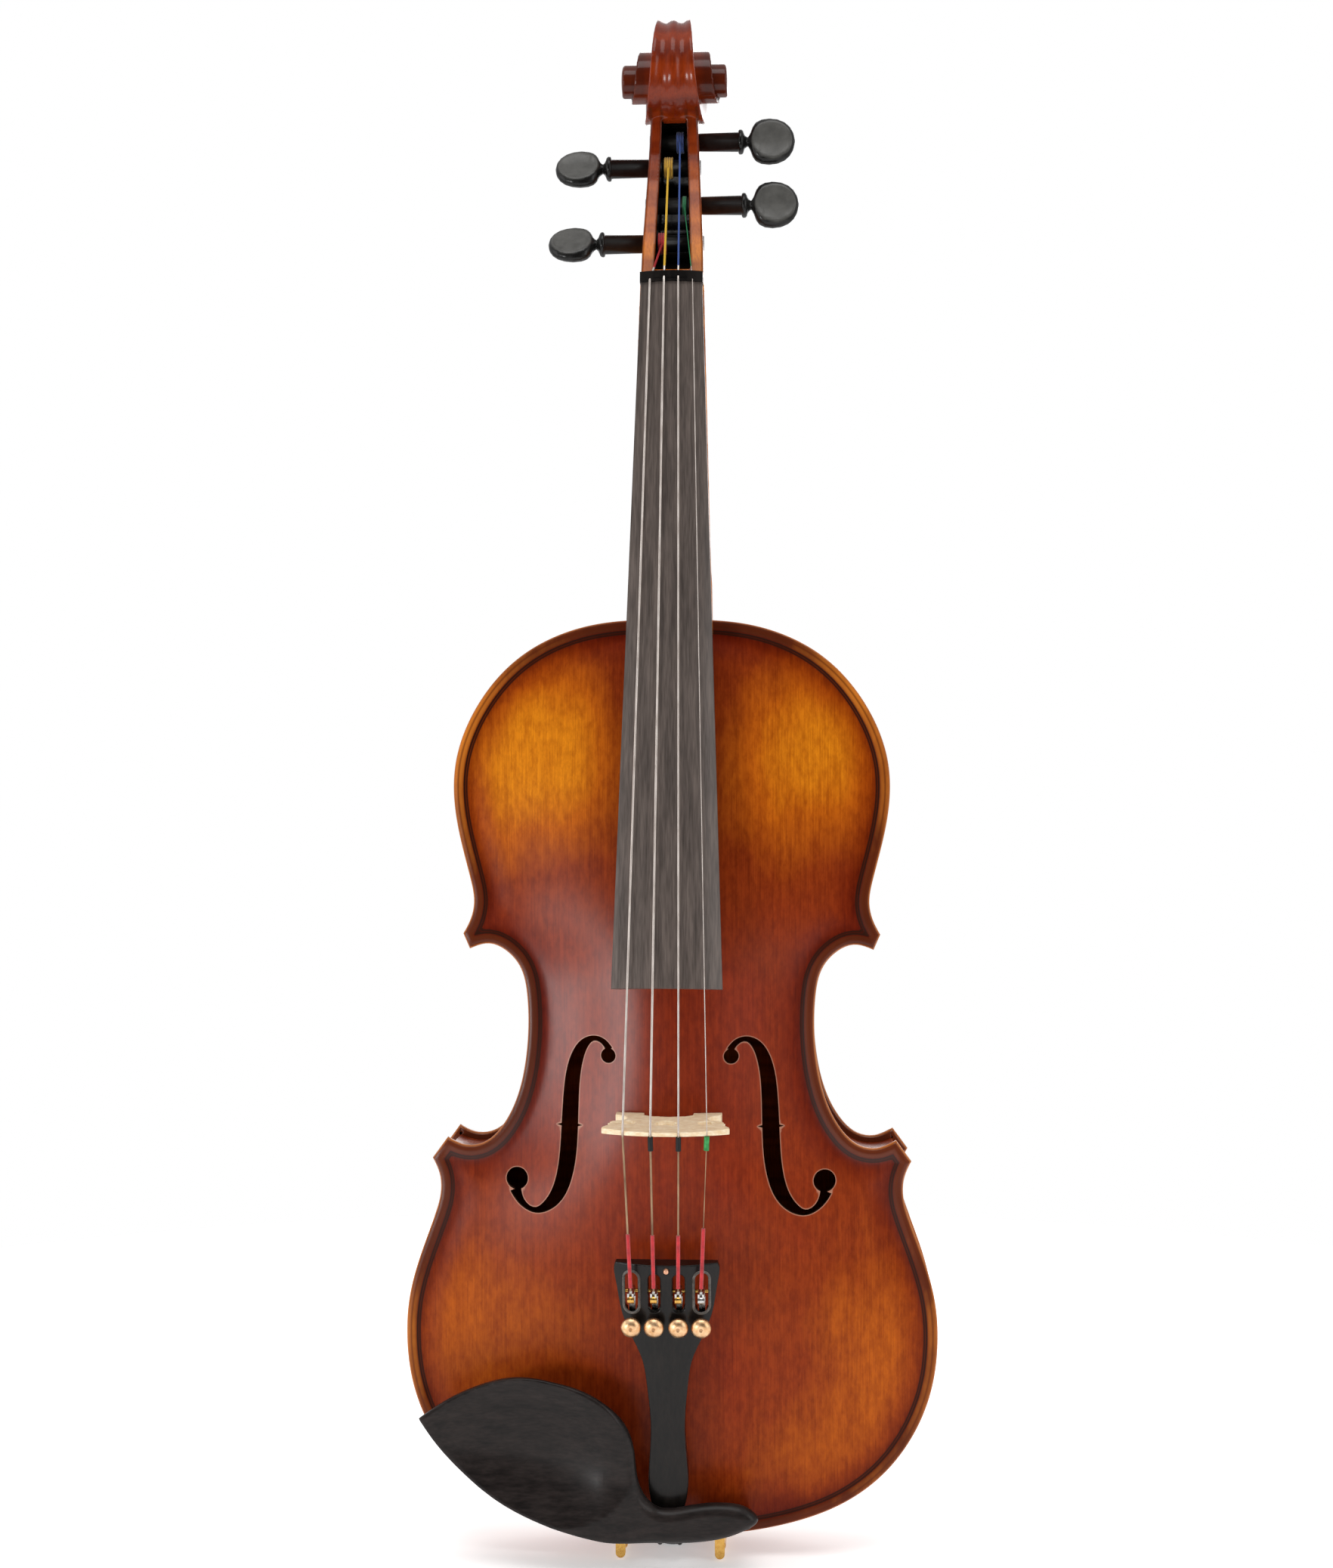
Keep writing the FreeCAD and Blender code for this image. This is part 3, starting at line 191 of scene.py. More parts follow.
HOLE_UPPER_EYE = (23.7, 187.2, 2.9)
HOLE_LOWER_EYE = (59.6, 138.8, 4.3)
HOLE_LINE = [
    (23.2, 189.4, 1.4), (25.8, 192.6, 1.1), (29.4, 193.7, 1.0), (33, 191.7, 1.8), (35.8, 187, 2.5),
    (37.6, 180, 2.9), (38.4, 172, 3.1), (38.9, 160, 3.3), (39.5, 149, 3.3), (41, 140, 3.1),
    (43.8, 133, 2.7), (48, 128.5, 1.9), (52.4, 126.9, 1.1), (55.8, 128.2, 1.1), (58.6, 131.2, 1.6),
    (60.2, 134.8, 2.3)]


def circle(x, z, radius, count):
    """Points round a circle."""
    turns = np.linspace(0, 2 * np.pi, count, endpoint=False)
    return np.column_stack([x + radius * np.cos(turns), z + radius * np.sin(turns)])


def sound_hole(side):
    """The loops that together bound one sound hole: stem, two eyes and the nicks."""
    line = np.array(HOLE_LINE)
    middle, half = line[:, :2], line[:, 2]
    run = unit(np.gradient(middle, axis=0))
    across = np.column_stack([run[:, 1], -run[:, 0]]) * half[:, None]
    stem = np.vstack([spline(middle - across, 80), spline(middle + across, 80)[::-1]])
    x, z, width = HOLE_LINE[7]
    nick = np.array([(x - width - 1.8, z), (x, z + 1.4), (x + width + 1.8, z), (x, z - 1.4)])
    loops = [stem, circle(*HOLE_UPPER_EYE, 22), circle(*HOLE_LOWER_EYE, 30), nick]
    return [loop * [side, 1] for loop in loops]


# ---- making objects

def add_mesh(name, points, faces, body="violin"):
    """A new piece from points in millimetres, riding on a body."""
    mesh = bpy.data.meshes.new(name)
    mesh.from_pydata([tuple(float(v) * MM for v in p) for p in points], [],
                     [tuple(int(i) for i in f) for f in faces])
    mesh.validate()
    mesh.update()
    mesh.polygons.foreach_set("use_smooth", [True] * len(mesh.polygons))
    item = bpy.data.objects.new(name, mesh)
    bpy.context.scene.collection.objects.link(item)
    if body:
        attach(item, body)
    return item


def joined(name, solids):
    """Several solids in one object, which doesn't ride on a body yet."""
    points, faces = [], []
    for more_points, more_faces in solids:
        first = len(points)
        points += list(more_points)
        faces += [tuple(i + first for i in face) for face in more_faces]
    return add_mesh(name, points, faces, body=None)


def bands(rows, size, start=0):
    """Faces between neighbouring rings of points, every ring closed and of one size."""
    faces = []
    for row in range(rows - 1):
        low, high = start + row * size, start + (row + 1) * size
        for i in range(size):
            j = (i + 1) % size
            faces.append((low + i, low + j, high + j, high + i))
    return faces


def lofted(sections):
    """Points and faces of a closed solid through rings of one size."""
    size = len(sections[0])
    last = (len(sections) - 1) * size
    ends = [tuple(range(size))[::-1], tuple(range(last, last + size))]
    return [p for section in sections for p in section], bands(len(sections), size) + ends


def triangulated(points, borders):
    """Places and triangles of a flat area; the points start with its border loops."""
    edges, first = [], 0
    for loop in borders:
        edges += [(first + i, first + (i + 1) % len(loop)) for i in range(len(loop))]
        first += len(loop)
    made = delaunay_2d_cdt([Vector(p) for p in points], edges, [], 0, 1e-5)
    return np.array([tuple(p) for p in made[0]]), np.array([tuple(f) for f in made[2]])


def filled(outline, rows, across, up, clear):
    """Points inside an outline: rows along it, by inset and least gap, then a grid."""
    found = []
    for inset, gap in rows:
        row = drawn_in(outline, inset)
        found.append(row[inside(row, outline) & (distance_to(row, outline) > gap)])
    grid = np.array([(x, z) for x in across for z in up])
    grid = grid[inside(grid, outline)]
    return found + [grid[distance_to(grid, outline) > clear]]


def note(item, name, values):
    """A number at each point of a mesh, for its material to read."""
    layer = item.data.attributes.new(name, "FLOAT", "POINT")
    layer.data.foreach_set("value", np.asarray(values, np.float32))


def places_of(item):
    """The points of a piece, in millimetres."""
    return np.array([tuple(v.co) for v in item.data.vertices]) / MM


def remade(item, voxel, passes):
    """Rebuilds a mesh from small voxels and eases it, which rounds its edges."""
    rebuild = item.modifiers.new("rebuild", "REMESH")
    rebuild.mode = "VOXEL"
    rebuild.voxel_size = voxel * MM
    rebuild.use_smooth_shade = True
    ease = item.modifiers.new("ease", "SMOOTH")
    ease.factor = 0.5
    ease.iterations = passes
    seen = item.evaluated_get(bpy.context.evaluated_depsgraph_get())
    mesh = bpy.data.meshes.new_from_object(seen)
    item.modifiers.clear()
    item.data = mesh


def eased_copy(name, node, voxel, passes):
    """A copy of a CAD node with its edges rounded, shown in its place."""
    item = bpy.data.objects.new(name, nodes[node].data.copy())
    bpy.context.scene.collection.objects.link(item)
    remade(item, voxel, passes)
    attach(item, "violin")
    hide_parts(node)
    return item


# ---- front and back

PLATE_ROWS = (1.6, 2.4, 3.4, 4.2, 5.4, 6.8, 8.6)  # rows of points along the edge
FAR, DEEP = 9.0, -3.0  # hole distance noted away from the holes, and behind their walls


def flat_plate(outline, inner, holes):
    """Places and triangles of a plate seen flat, inside one loop and round its holes."""
    slack = [inset - 0.05 for inset in PLATE_ROWS]
    rows = filled(outline, zip(PLATE_ROWS, slack), np.arange(-102, 102.1, GRID_STEP),
                  np.arange(3, 366, GRID_STEP), 9.8)
    borders = [inner] + holes
    flat = np.vstack(borders + rows)
    near_hole = np.zeros(len(flat), bool)
    for loop in holes:
        near_hole |= (distance_to(flat, loop) < 0.7) | inside(flat, loop)
    near_hole[:sum(len(loop) for loop in borders)] = False
    places, triangles = triangulated(flat[~near_hole], borders)
    middles = places[triangles].mean(axis=1)
    kept = inside(middles, inner)
    for loop in holes:
        kept &= ~inside(middles, loop)
    triangles = triangles[kept]
    used = np.unique(triangles)
    renumber = np.full(len(places), -1)
    renumber[used] = np.arange(len(used))
    places, triangles = places[used], renumber[triangles]
    a, b, c = (places[triangles[:, k]] for k in range(3))
    turned = ((b - a)[:, 0] * (c - a)[:, 1] - (b - a)[:, 1] * (c - a)[:, 0]) < 0
    triangles[turned] = triangles[turned][:, ::-1]
    return places, triangles


def plate(name, side, button, hole_sides):
    """An arched plate with its edge bead, channel and sound holes, closed behind."""
    outline = plate_outline(button)
    inner = drawn_in(outline, EDGE_SHAPE[0][0])
    holes = [loop for hole in hole_sides for loop in sound_hole(hole)]
    places, triangles = flat_plate(outline, inner, holes)
    count = len(places)
    away = distance_to(places, outline)
    depth = EDGE - along(EDGE_SHAPE, away) + ARCH_RISE * arch(places[:, 0], places[:, 1])
    behind = np.maximum(depth - PLATE, JOINT)
    outer = np.column_stack([places[:, 0], side * depth, places[:, 1]])
    under = np.column_stack([places[:, 0], side * behind, places[:, 1]])
    hole_gap = np.full(count, FAR)
    for loop in holes:
        hole_gap = np.minimum(hole_gap, distance_to(places, loop))
    vertices, edge_note, hole_note = [outer, under], [away, away], [hole_gap, hole_gap]
    faces = [tuple(f) for f in triangles] + [tuple(f[::-1] + count) for f in triangles]
    pairs = {(f[i], f[(i + 1) % 3]) for f in triangles for i in range(3)}
    border = [pair for pair in pairs if (pair[1], pair[0]) not in pairs]
    rim_gap = distance_to(places[[pair[0] for pair in border]], inner)
    walls = np.array([pair for pair, gap in zip(border, rim_gap) if gap > 0.4], int)
    first = 2 * count
    if len(walls):
        lips = np.unique(walls)
        place_of = {int(v): first + k for k, v in enumerate(lips)}
        vertices += [outer[lips], under[lips]]
        edge_note += [away[lips], away[lips]]
        hole_note += [np.zeros(len(lips)), np.full(len(lips), DEEP)]
        for i, j in walls:
            low, high = place_of[int(i)], place_of[int(j)]
            faces.append((high, low, low + len(lips), high + len(lips)))
        first += 2 * len(lips)
    rings = EDGE_SHAPE[:1] + RIM_SHAPE
    for inset, drop in rings:
        loop = drawn_in(outline, inset)
        level = np.full(len(loop), side * (EDGE - drop))
        vertices.append(np.column_stack([loop[:, 0], level, loop[:, 1]]))
        edge_note.append(np.full(len(loop), min(inset, EDGE_SHAPE[0][0])))
        hole_note.append(np.full(len(loop), FAR))
    faces += bands(len(rings), len(inner), first)
    if side > 0:
        faces = [face[::-1] for face in faces]
    item = add_mesh(name, np.vstack(vertices), faces)
    note(item, "edge_distance", np.concatenate(edge_note))
    note(item, "hole_distance", np.concatenate(hole_note))
    return item


def soft_spots(item, start, spots):
    """How dark the varnish is at each point: 0 pale amber, 1 dark red-brown."""
    x, _, z = places_of(item).T
    tone = np.full(len(x), start)
    for cx, cz, rx, rz, gain in spots:
        tone = tone + gain * np.exp(-((x - cx) / rx) ** 2 - ((z - cz) / rz) ** 2)
    note(item, "tone", np.clip(tone, 0, 1))


front = plate("front", -1, False, (1, -1))
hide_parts("top_plate", "purfling_top")
back = plate("back", 1, True, ())
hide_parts("back_plate", "purfling_back")
# Spots of varnish: middle in x and z, reach in x and z, and how much darker they are.
soft_spots(front, 0.87, [
    (-54, 304, 40, 42, -0.95), (56, 304, 38, 42, -0.8), (-84, 80, 40, 50, -0.4),
    (84, 70, 38, 50, -0.42), (48, 30, 44, 24, -0.3), (44, 98, 24, 24, -0.08),
    (-44, 84, 30, 24, -0.12), (6, 90, 26, 50, 0.14), (0, 335, 22, 30, 0.25),
    (0, 300, 16, 40, 0.1), (0, 190, 60, 42, 0.16)])
soft_spots(back, 0.78, [(0, 285, 50, 48, -0.62), (0, 88, 62, 56, -0.62), (0, 190, 30, 60, -0.45)])


# ---- neck, pegbox and scroll

TILT = math.radians(7.16)


def in_neck(x, depth, place):
    """A point given in the neck's frame, in millimetres of the object's."""
    return (x, NECK_FRONT + place * math.sin(TILT) + depth * math.cos(TILT),
            BODY_LENGTH + place * math.cos(TILT) - depth * math.sin(TILT))


NECK_SECTIONS = [
    (-12, 16.6, 50), (12, 16.2, 50), (15.6, 16.1, 48), (17.2, 16, 38), (19, 15.9, 27),
    (21.8, 15.8, 18.8), (25, 15.7, 15), (30, 15.5, 13.3), (55, 14.8, 12.5), (90, 13.8, 12.2),
    (125, 12.8, 12.1), (138, 12.4, 12.4)]
HEAD_FRONT = [
    (133, 0), (137, 0), (150, 2.2), (164, 5), (178, 7.5), (190, 8.8), (199, 8.6), (206, 6.5),
    (221, 12)]
HEAD_BACK = [
    (133, 12.3), (139.5, 15.5), (145.5, 20.6), (153, 24.6), (163, 27), (175, 28.2), (187, 29.6),
    (198, 31.6), (210, 34.2), (223, 36.2)]
HEAD_HALF_WIDTH = [(133, 12.4), (150, 12), (200, 9.6), (212, 8.8), (223, 7.8)]
CAVITY_FLOOR = [
    (139.8, 3), (140.5, 5), (144.5, 12), (152, 18.2), (163, 21.8), (175, 23.2), (186, 24.4),
    (197.5, 26), (203.4, 14), (203.6, 8)]
CAVITY_HALF_WIDTH = [(138, 7.2), (204, 4.9)]
CAVITY_START, CAVITY_END = 139.8, 203.6
FLUTE_SHARE = 0.84  # part of the pegbox's back that its two flutes take up
VOLUTE_RADIUS = [24.2, 25, 21.5, 17.2, 14.5, 12.2, 10.2, 8.8, 7.6, 6.9, 6.5, 6.3, 6.2]
VOLUTE_HALF_WIDTH = [7.8, 6.2, 8.6, 12, 12.8, 13.8, 15.4, 17.2, 18.8, 19.8, 20.6, 21.2, 21.4]
EYE = (12.0, 221.0)  # depth and place of the scroll's axis
EYE_RADIUS, EYE_HALF_WIDTH = 6.2, 21.4

def neck_shaft():
    """The neck and its heel, cut flat where they meet the button and the block."""
    sections = []
    for place in np.concatenate([np.arange(-12, 32, 0.8), np.arange(32, 138.1, 4)]):
        half = along([row[:2] for row in NECK_SECTIONS], place)
        deep = along([(row[0], row[2]) for row in NECK_SECTIONS], place)
        loop = []
        for step in range(25):
            turn = math.pi * step / 24
            x, y, z = in_neck(half * math.cos(turn), deep * math.sin(turn) ** 0.8, place)
            loop.append((x, min(y, JOINT + 0.2), max(z, BODY_LENGTH - 6.5)))
        sections.append(loop)
    return lofted(sections)


def pegbox():
    """The open pegbox: two cheeks, a rising floor and a fluted back with its spine."""
    sections = []
    for place in np.concatenate([np.arange(133, 139.7, 0.8), np.arange(CAVITY_START, 223.1, 0.8)]):
        front_depth = along(HEAD_FRONT, place)
        back_depth = along(HEAD_BACK, place)
        half = along(HEAD_HALF_WIDTH, place)
        hollow = along(CAVITY_HALF_WIDTH, place)
        floor = front_depth
        if CAVITY_START <= place <= CAVITY_END:
            floor = max(along(CAVITY_FLOOR, place), front_depth)
        flute = 1.3 * min(max((place - 142) / 12, 0), 1)
        loop = [(-half, front_depth + 0.6), (-half + 0.7, front_depth), (-hollow, front_depth),
                (-hollow, floor), (hollow, floor), (hollow, front_depth),
                (half - 0.7, front_depth), (half, front_depth + 0.6), (half, back_depth - 1.2),
                (half - 0.9, back_depth)]
        for share in (0.78, 0.6, 0.42, 0.24, 0.08, 0, -0.08, -0.24, -0.42, -0.6, -0.78):
            dip = flute * math.sin(math.pi * abs(share) / FLUTE_SHARE)
            loop.append((half * share, back_depth - dip))
        loop += [(-half + 0.9, back_depth), (-half, back_depth - 1.2)]
        sections.append([in_neck(x, depth, place) for x, depth in loop])
    return lofted(sections)


def volute_column(turn):
    """Radius and half width of the scroll's side along one ray from the eye."""
    quarter = turn / (math.pi / 2)
    rim = [along(list(enumerate(VOLUTE_RADIUS)), quarter + 4 * k) for k in range(3)]
    wide = [along(list(enumerate(VOLUTE_HALF_WIDTH)), quarter + 4 * k) for k in range(3)]
    column = []
    for share in (0.02, 0.3, 0.55, 0.75, 0.9, 1.0):
        eye = wide[2]
        if rim[2] < EYE_RADIUS + 0.4 or share < EYE_RADIUS / rim[2]:
            eye = EYE_HALF_WIDTH - 0.9 * share ** 4
        column.append((rim[2] * share, max(eye, wide[2] - 0.6 * (share == 1.0))))
    for k in (1, 0):
        for share in (0.0, 0.08, 0.2, 0.36, 0.54, 0.72, 0.86, 0.95, 1.0):
            radius = rim[k + 1] + (rim[k] - rim[k + 1]) * share
            scoop = 2.0 * (1 - share) ** 1.3 + 0.5 * (share == 1.0)
            column.append((radius, wide[k] - scoop))
    return column


def scroll():
    """The volute: spiral steps on both sides and a fluted rim between them."""
    sections = []
    rim_steps = np.linspace(1, -1, 13)[1:-1]
    for turn in np.linspace(0, 2 * math.pi, 145):
        column = volute_column(turn)
        outer, half = column[-1]
        loop = [(half_width, radius) for radius, half_width in column]
        loop += [(half * share, outer - 1.3 * math.sin(math.pi * abs(share)) ** 2)
                 for share in rim_steps]
        loop += [(-half_width, radius) for radius, half_width in column[::-1]]
        sections.append([in_neck(x, EYE[0] + radius * math.cos(turn),
                                 EYE[1] + radius * math.sin(turn)) for x, radius in loop])
    points, faces = lofted(sections)
    return points, [face[:1] + face[:0:-1] for face in faces]


def note_hollow(item):
    """Marks the inside of the pegbox, which is painted near black as shade, and the cheeks' edges,
    which get a painted shade.
    """
    place = places_of(item)
    y, z = place[:, 1] - NECK_FRONT, place[:, 2] - BODY_LENGTH
    depth = y * math.cos(TILT) - z * math.sin(TILT)
    up = y * math.sin(TILT) + z * math.cos(TILT)
    across = np.abs(place[:, 0])
    cavity, front_depth = along(CAVITY_HALF_WIDTH, up), along(HEAD_FRONT, up)
    floor = np.where((up > CAVITY_START + 0.4) & (up < CAVITY_END - 0.2),
                     along(CAVITY_FLOOR, up), -99)
    within = (across < cavity + 0.35) & (depth < floor + 0.4) & (depth > front_depth + 1.2)
    note(item, "hollow", within)
    near = np.minimum(np.abs(along(HEAD_HALF_WIDTH, up) - across), np.abs(cavity - across))
    top = np.clip(1.6 - (depth - front_depth), 0, 1) * (up > 138) * (up < 206)
    note(item, "cheek_edge_shade", np.clip(1.3 - near / 0.8, 0, 1) * top)


neck = joined("neck_and_scroll", [neck_shaft(), pegbox(), scroll()])
remade(neck, 0.4, 3)
note_hollow(neck)
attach(neck, "violin")
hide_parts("neck")


# ---- fittings

TAIL_TILT = math.radians(10.45)
ADJUSTER_X = {"g": -13.2, "d": -4.6, "a": 4.6, "e": 13.2}


def in_tailpiece(x, depth, place):
    """A point given in the tailpiece's frame, in millimetres of the object's."""
    return (x, -34.5 + depth * math.cos(TAIL_TILT) - place * math.sin(TAIL_TILT),
            14 + depth * math.sin(TAIL_TILT) + place * math.cos(TAIL_TILT))


KNOB_PROFILE = [
    (0.0, 2.98), (0.35, 3.0), (0.62, 3.07), (0.85, 3.16), (1.3, 3.18), (2.1, 2.96), (2.9, 2.5),
    (3.35, 2.02), (3.62, 1.7), (3.8, 1.4), (3.8, 0.45), (3.55, 0.05), (1.15, 0.0)]
KNOB_RADIUS = 3.8  # of the knurled rows of the profile
KNOB_TEETH = 36
KNOB_PLACE = 76  # along the tailpiece
RECESS_ROWS = 3  # rows of the profile that lie in the recess
SLOT_ENDS = (93.2, 82.6)  # middles of the round ends of a string slot
CROWN = 50.0  # radius of the tailpiece's face
RIM_POINTS = 10  # round the section of a slot's rim


def knob(name, x):
    """A domed screw head with a knurled side and a small recess on top."""
    count, size = KNOB_TEETH * 4, len(KNOB_PROFILE)
    points, faces = [], []
    for step, (across, up) in enumerate(circle(0, 0, 1, count)):
        groove = 0.18 if step % 4 > 1 else 0
        for radius, height in KNOB_PROFILE:
            r = radius - (groove if radius == KNOB_RADIUS else 0)
            points.append(in_tailpiece(x + r * across, -2.9 - height, KNOB_PLACE + r * up))
        low, high = step * size, (step + 1) % count * size
        for row in range(size - 1):
            faces.append((low + row, high + row, high + row + 1, low + row + 1))
    item = add_mesh(f"screw_head_{name}", points, faces, body=f"adjuster_head_{name}")
    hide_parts(f"adjuster_knob_{name}")
    note(item, "recess", [index % size < RECESS_ROWS for index in range(len(points))])
    return item


def slot_rim(name, x):
    """The raised oval rim round an outer string slot."""
    loop = []
    for end, place in enumerate(SLOT_ENDS):
        for step in range(16):
            turn = math.pi * (end + step / 15)
            loop.append((x + 3.0 * math.cos(turn), place + 3.0 * math.sin(turn)))
    points, faces = [], []
    for index, (px, pw) in enumerate(loop):
        nx, nw = loop[(index + 1) % len(loop)]
        bx, bw = loop[index - 1]
        run = math.hypot(nx - bx, nw - bw)
        ox, ow = (nw - bw) / run, -(nx - bx) / run
        level = CROWN - math.sqrt(CROWN ** 2 - px ** 2)
        low, high = index * RIM_POINTS, (index + 1) % len(loop) * RIM_POINTS
        for step, (out, up) in enumerate(circle(0, 0, 1, RIM_POINTS)):
            points.append(in_tailpiece(px + 0.55 * out * ox, level - 0.05 - 0.42 * up,
                                       pw + 0.55 * out * ow))
            after = (step + 1) % RIM_POINTS
            faces.append((low + step, high + step, high + after, low + after))
    return add_mesh(name, points, faces)


# Pegs: string, side of the head, place along the neck, depth, collar and head's turn.
PEGS = [("g", -1, 153.0, 10.0, 27.3, 33), ("e", 1, 169.5, 12.5, 27.0, 0),
        ("d", -1, 186.0, 14.5, 25.3, 27), ("a", 1, 197.0, 15.5, 25.5, 0)]
PEG_POINTS = 40  # round the shank
# How far out from the collar's inner face, and radius.
COLLAR = [
    (-0.1, 3.83), (0, 4.4), (0.35, 4.85), (0.9, 4.95), (1.5, 4.8), (2.0, 4.3), (2.3, 3.5),
    (2.8, 2.5), (3.4, 1.9), (4.4, 1.7)]
# How far out on the thumb piece, and half its height or thickness.
HEAD_HEIGHT = [
    (0, 1.7), (0.9, 1.9), (1.7, 3.4), (2.6, 6.1), (3.9, 8.0), (6.2, 9.2), (9.2, 9.6), (12.6, 9.2),
    (15.6, 7.9), (17.6, 6.0), (18.9, 3.8), (19.4, 2.0), (19.6, 0.5)]
HEAD_THICKNESS = [
    (0, 1.7), (1.7, 2.1), (3, 2.9), (5, 3.5), (10, 3.7), (15, 3.2), (17.6, 2.5), (19.0, 1.6),
    (19.6, 0.3)]


def peg(name, side, place, deep, collar, turn):
    """A tuning peg: tapered shank, turned collar and a thumb piece dished on both faces."""
    cosine, sine = math.cos(math.radians(turn)), math.sin(math.radians(turn))

    def at(across, thick, out):
        """A point of the peg, from its own axes to the object's."""
        level = across * cosine - thick * sine
        return in_neck(side * out, deep + across * sine + thick * cosine, place - side * level)

    end = -along(HEAD_HALF_WIDTH, place) - 0.3
    profile = [(end, 0.0), (end, 2.9), (end + 0.3, 3.15)]
    profile += [(collar + out, radius) for out, radius in COLLAR]
    points = [at(across, thick, out) for out, radius in profile
              for across, thick in circle(0, 0, radius, PEG_POINTS)]
    start = len(points)
    # pale marks the dished faces of the thumb piece, which the pegs' material paints a lighter
    # grey as sheen.
    pale = [0.0] * start
    shares = np.sin(np.linspace(-0.5, 0.5, 21) * math.pi)
    places = np.concatenate([np.linspace(0, 5, 12), np.linspace(5.6, 16, 18),
                             np.linspace(16.4, 19.6, 12)])
    for out in places:
        tall, half = along(HEAD_HEIGHT, out), along(HEAD_THICKNESS, out)
        row = []
        for share in shares:
            across = tall * share
            gap = ((out - 10.4) / 7.6) ** 2 + (across / 7.4) ** 2
            dish = 1.9 * max(1 - gap, 0) ** 0.7
            row.append((across, half * (1 - abs(share) ** 3.2) ** 0.55 - dish,
                        min(max(1.22 - gap, 0) * 6, 1)))
        loop = row + [(across, -thick, level) for across, thick, level in row[::-1]][1:-1]
        points += [at(across, thick, collar + 3.0 + out) for across, thick, _ in loop]
        pale += [level for _, _, level in loop]
    faces = bands(len(profile), PEG_POINTS) + bands(len(places), 2 * len(shares) - 2, start)
    item = add_mesh(f"tuning_peg_{name}", points, faces, body=f"peg_{name}")
    note(item, "pale", pale)
    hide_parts(f"peg_{name}")
    return item


CHIN_REST = [
    (-94.6, 50.8), (-89.9, 43.1), (-79.5, 30.9), (-64, 18.7), (-43.3, 9.8), (-22.6, 4.7),
    (-2.1, 3.4), (19.5, 5.2), (29.8, 8.9), (34.4, 13.1), (31.9, 16.4), (23.7, 19.1), (8.3, 18),
    (-4.7, 17.8), (-9.3, 22.7), (-11.9, 31.9), (-13.3, 42.2), (-17.5, 51.3), (-24.3, 57.8),
    (-32.9, 62.4), (-44.5, 65.6), (-55.7, 66.8), (-70.6, 63.6), (-82.3, 58.5)]
REST_LEAN = math.radians(14.2)
CUP = (-54, 39, 43, 28)  # middle and half sizes of the hollow


def chin_rest_shell():
    """The cup and the arm across the tail, as one closed form."""
    outline = spline(CHIN_REST + CHIN_REST[:1], 260)[:-1]
    # The outline runs anticlockwise, so its insets are negative.
    rows = [(-inset, inset * 0.96) for inset in (0.25, 0.7, 1.3, 2.0, 3.0, 4.4)]
    rows = filled(outline, rows, np.arange(-94, 36, 1.7), np.arange(3, 68, 1.7), 5.2)
    places, triangles = triangulated(np.vstack([outline] + rows), [outline])
    triangles = triangles[inside(places[triangles].mean(axis=1), outline)]
    away = distance_to(places, outline)
    x, z = places.T
    arm = np.clip((x + 26) / 22, 0, 1)
    arm = arm * arm * (3 - 2 * arm)
    u = (x - CUP[0]) * math.cos(REST_LEAN) - (z - CUP[1]) * math.sin(REST_LEAN)
    v = (x - CUP[0]) * math.sin(REST_LEAN) + (z - CUP[1]) * math.cos(REST_LEAN)
    cup = np.maximum(1 - (u / CUP[2]) ** 2 - (v / CUP[3]) ** 2, 0)
    bend = 1.5 + 3.6 * arm
    round_off = 1 - np.sqrt(1 - (1 - np.minimum(away / bend, 1)) ** 2)
    front_y = -46.3 + 3.2 * arm + bend * 0.8 * round_off + 8.2 * cup ** 1.15
    behind = -43.4 + 5.8 * arm - 1.0 * round_off + 9.6 * cup ** 0.7 * (1 - arm)
    count, size = len(places), len(outline)
    points = list(zip(x, front_y, z)) + list(zip(x, np.maximum(behind, front_y + 0.6), z))
    faces = [tuple(f) for f in triangles] + [tuple(f[::-1] + count) for f in triangles]
    for i in range(size):
        j = (i + 1) % size
        faces.append((i, j, j + count, i + count))
    return points, faces


def chin_rest_foot(low, high):
    """A foot that carries the rest on the edge of the front beside the tailpiece."""
    lower = sorted(point for point in CHIN_REST if point[1] < 14 and point[0] < 34)
    sections = []
    for x in np.linspace(low, high, 24):
        bottom = along(lower, x) + 0.3
        sections.append([(x, -40.5, bottom), (x, -40.5, 10.5), (x, -21.5, 10.5),
                         (x, -21.5, bottom)])
    return lofted(sections)


knobs = [knob(name, x) for name, x in ADJUSTER_X.items()]
rims = [slot_rim(f"slot_rim_{side}", ADJUSTER_X[name])
        for side, name in (("bass", "g"), ("treble", "e"))]
chin_rest = joined("chin_rest_cup", [chin_rest_shell(), chin_rest_foot(-46, -11.5),
                                     chin_rest_foot(11.5, 31)])
remade(chin_rest, 0.45, 4)
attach(chin_rest, "violin")
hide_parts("chin_rest")
bridge = eased_copy("maple_bridge", "bridge", 0.25, 3)
tailpiece = eased_copy("tailpiece_body", "tailpiece", 0.3, 3)
pegs = [peg(*row) for row in PEGS]


# ---- materials

def rgb(red, green, blue):
    """A colour given as the eye sees it, 0 to 255, for a shader."""
    return tuple(((v / 255 + 0.055) / 1.055) ** 2.4 if v > 10 else v / 255 / 12.92
                 for v in (red, green, blue)) + (1.0,)


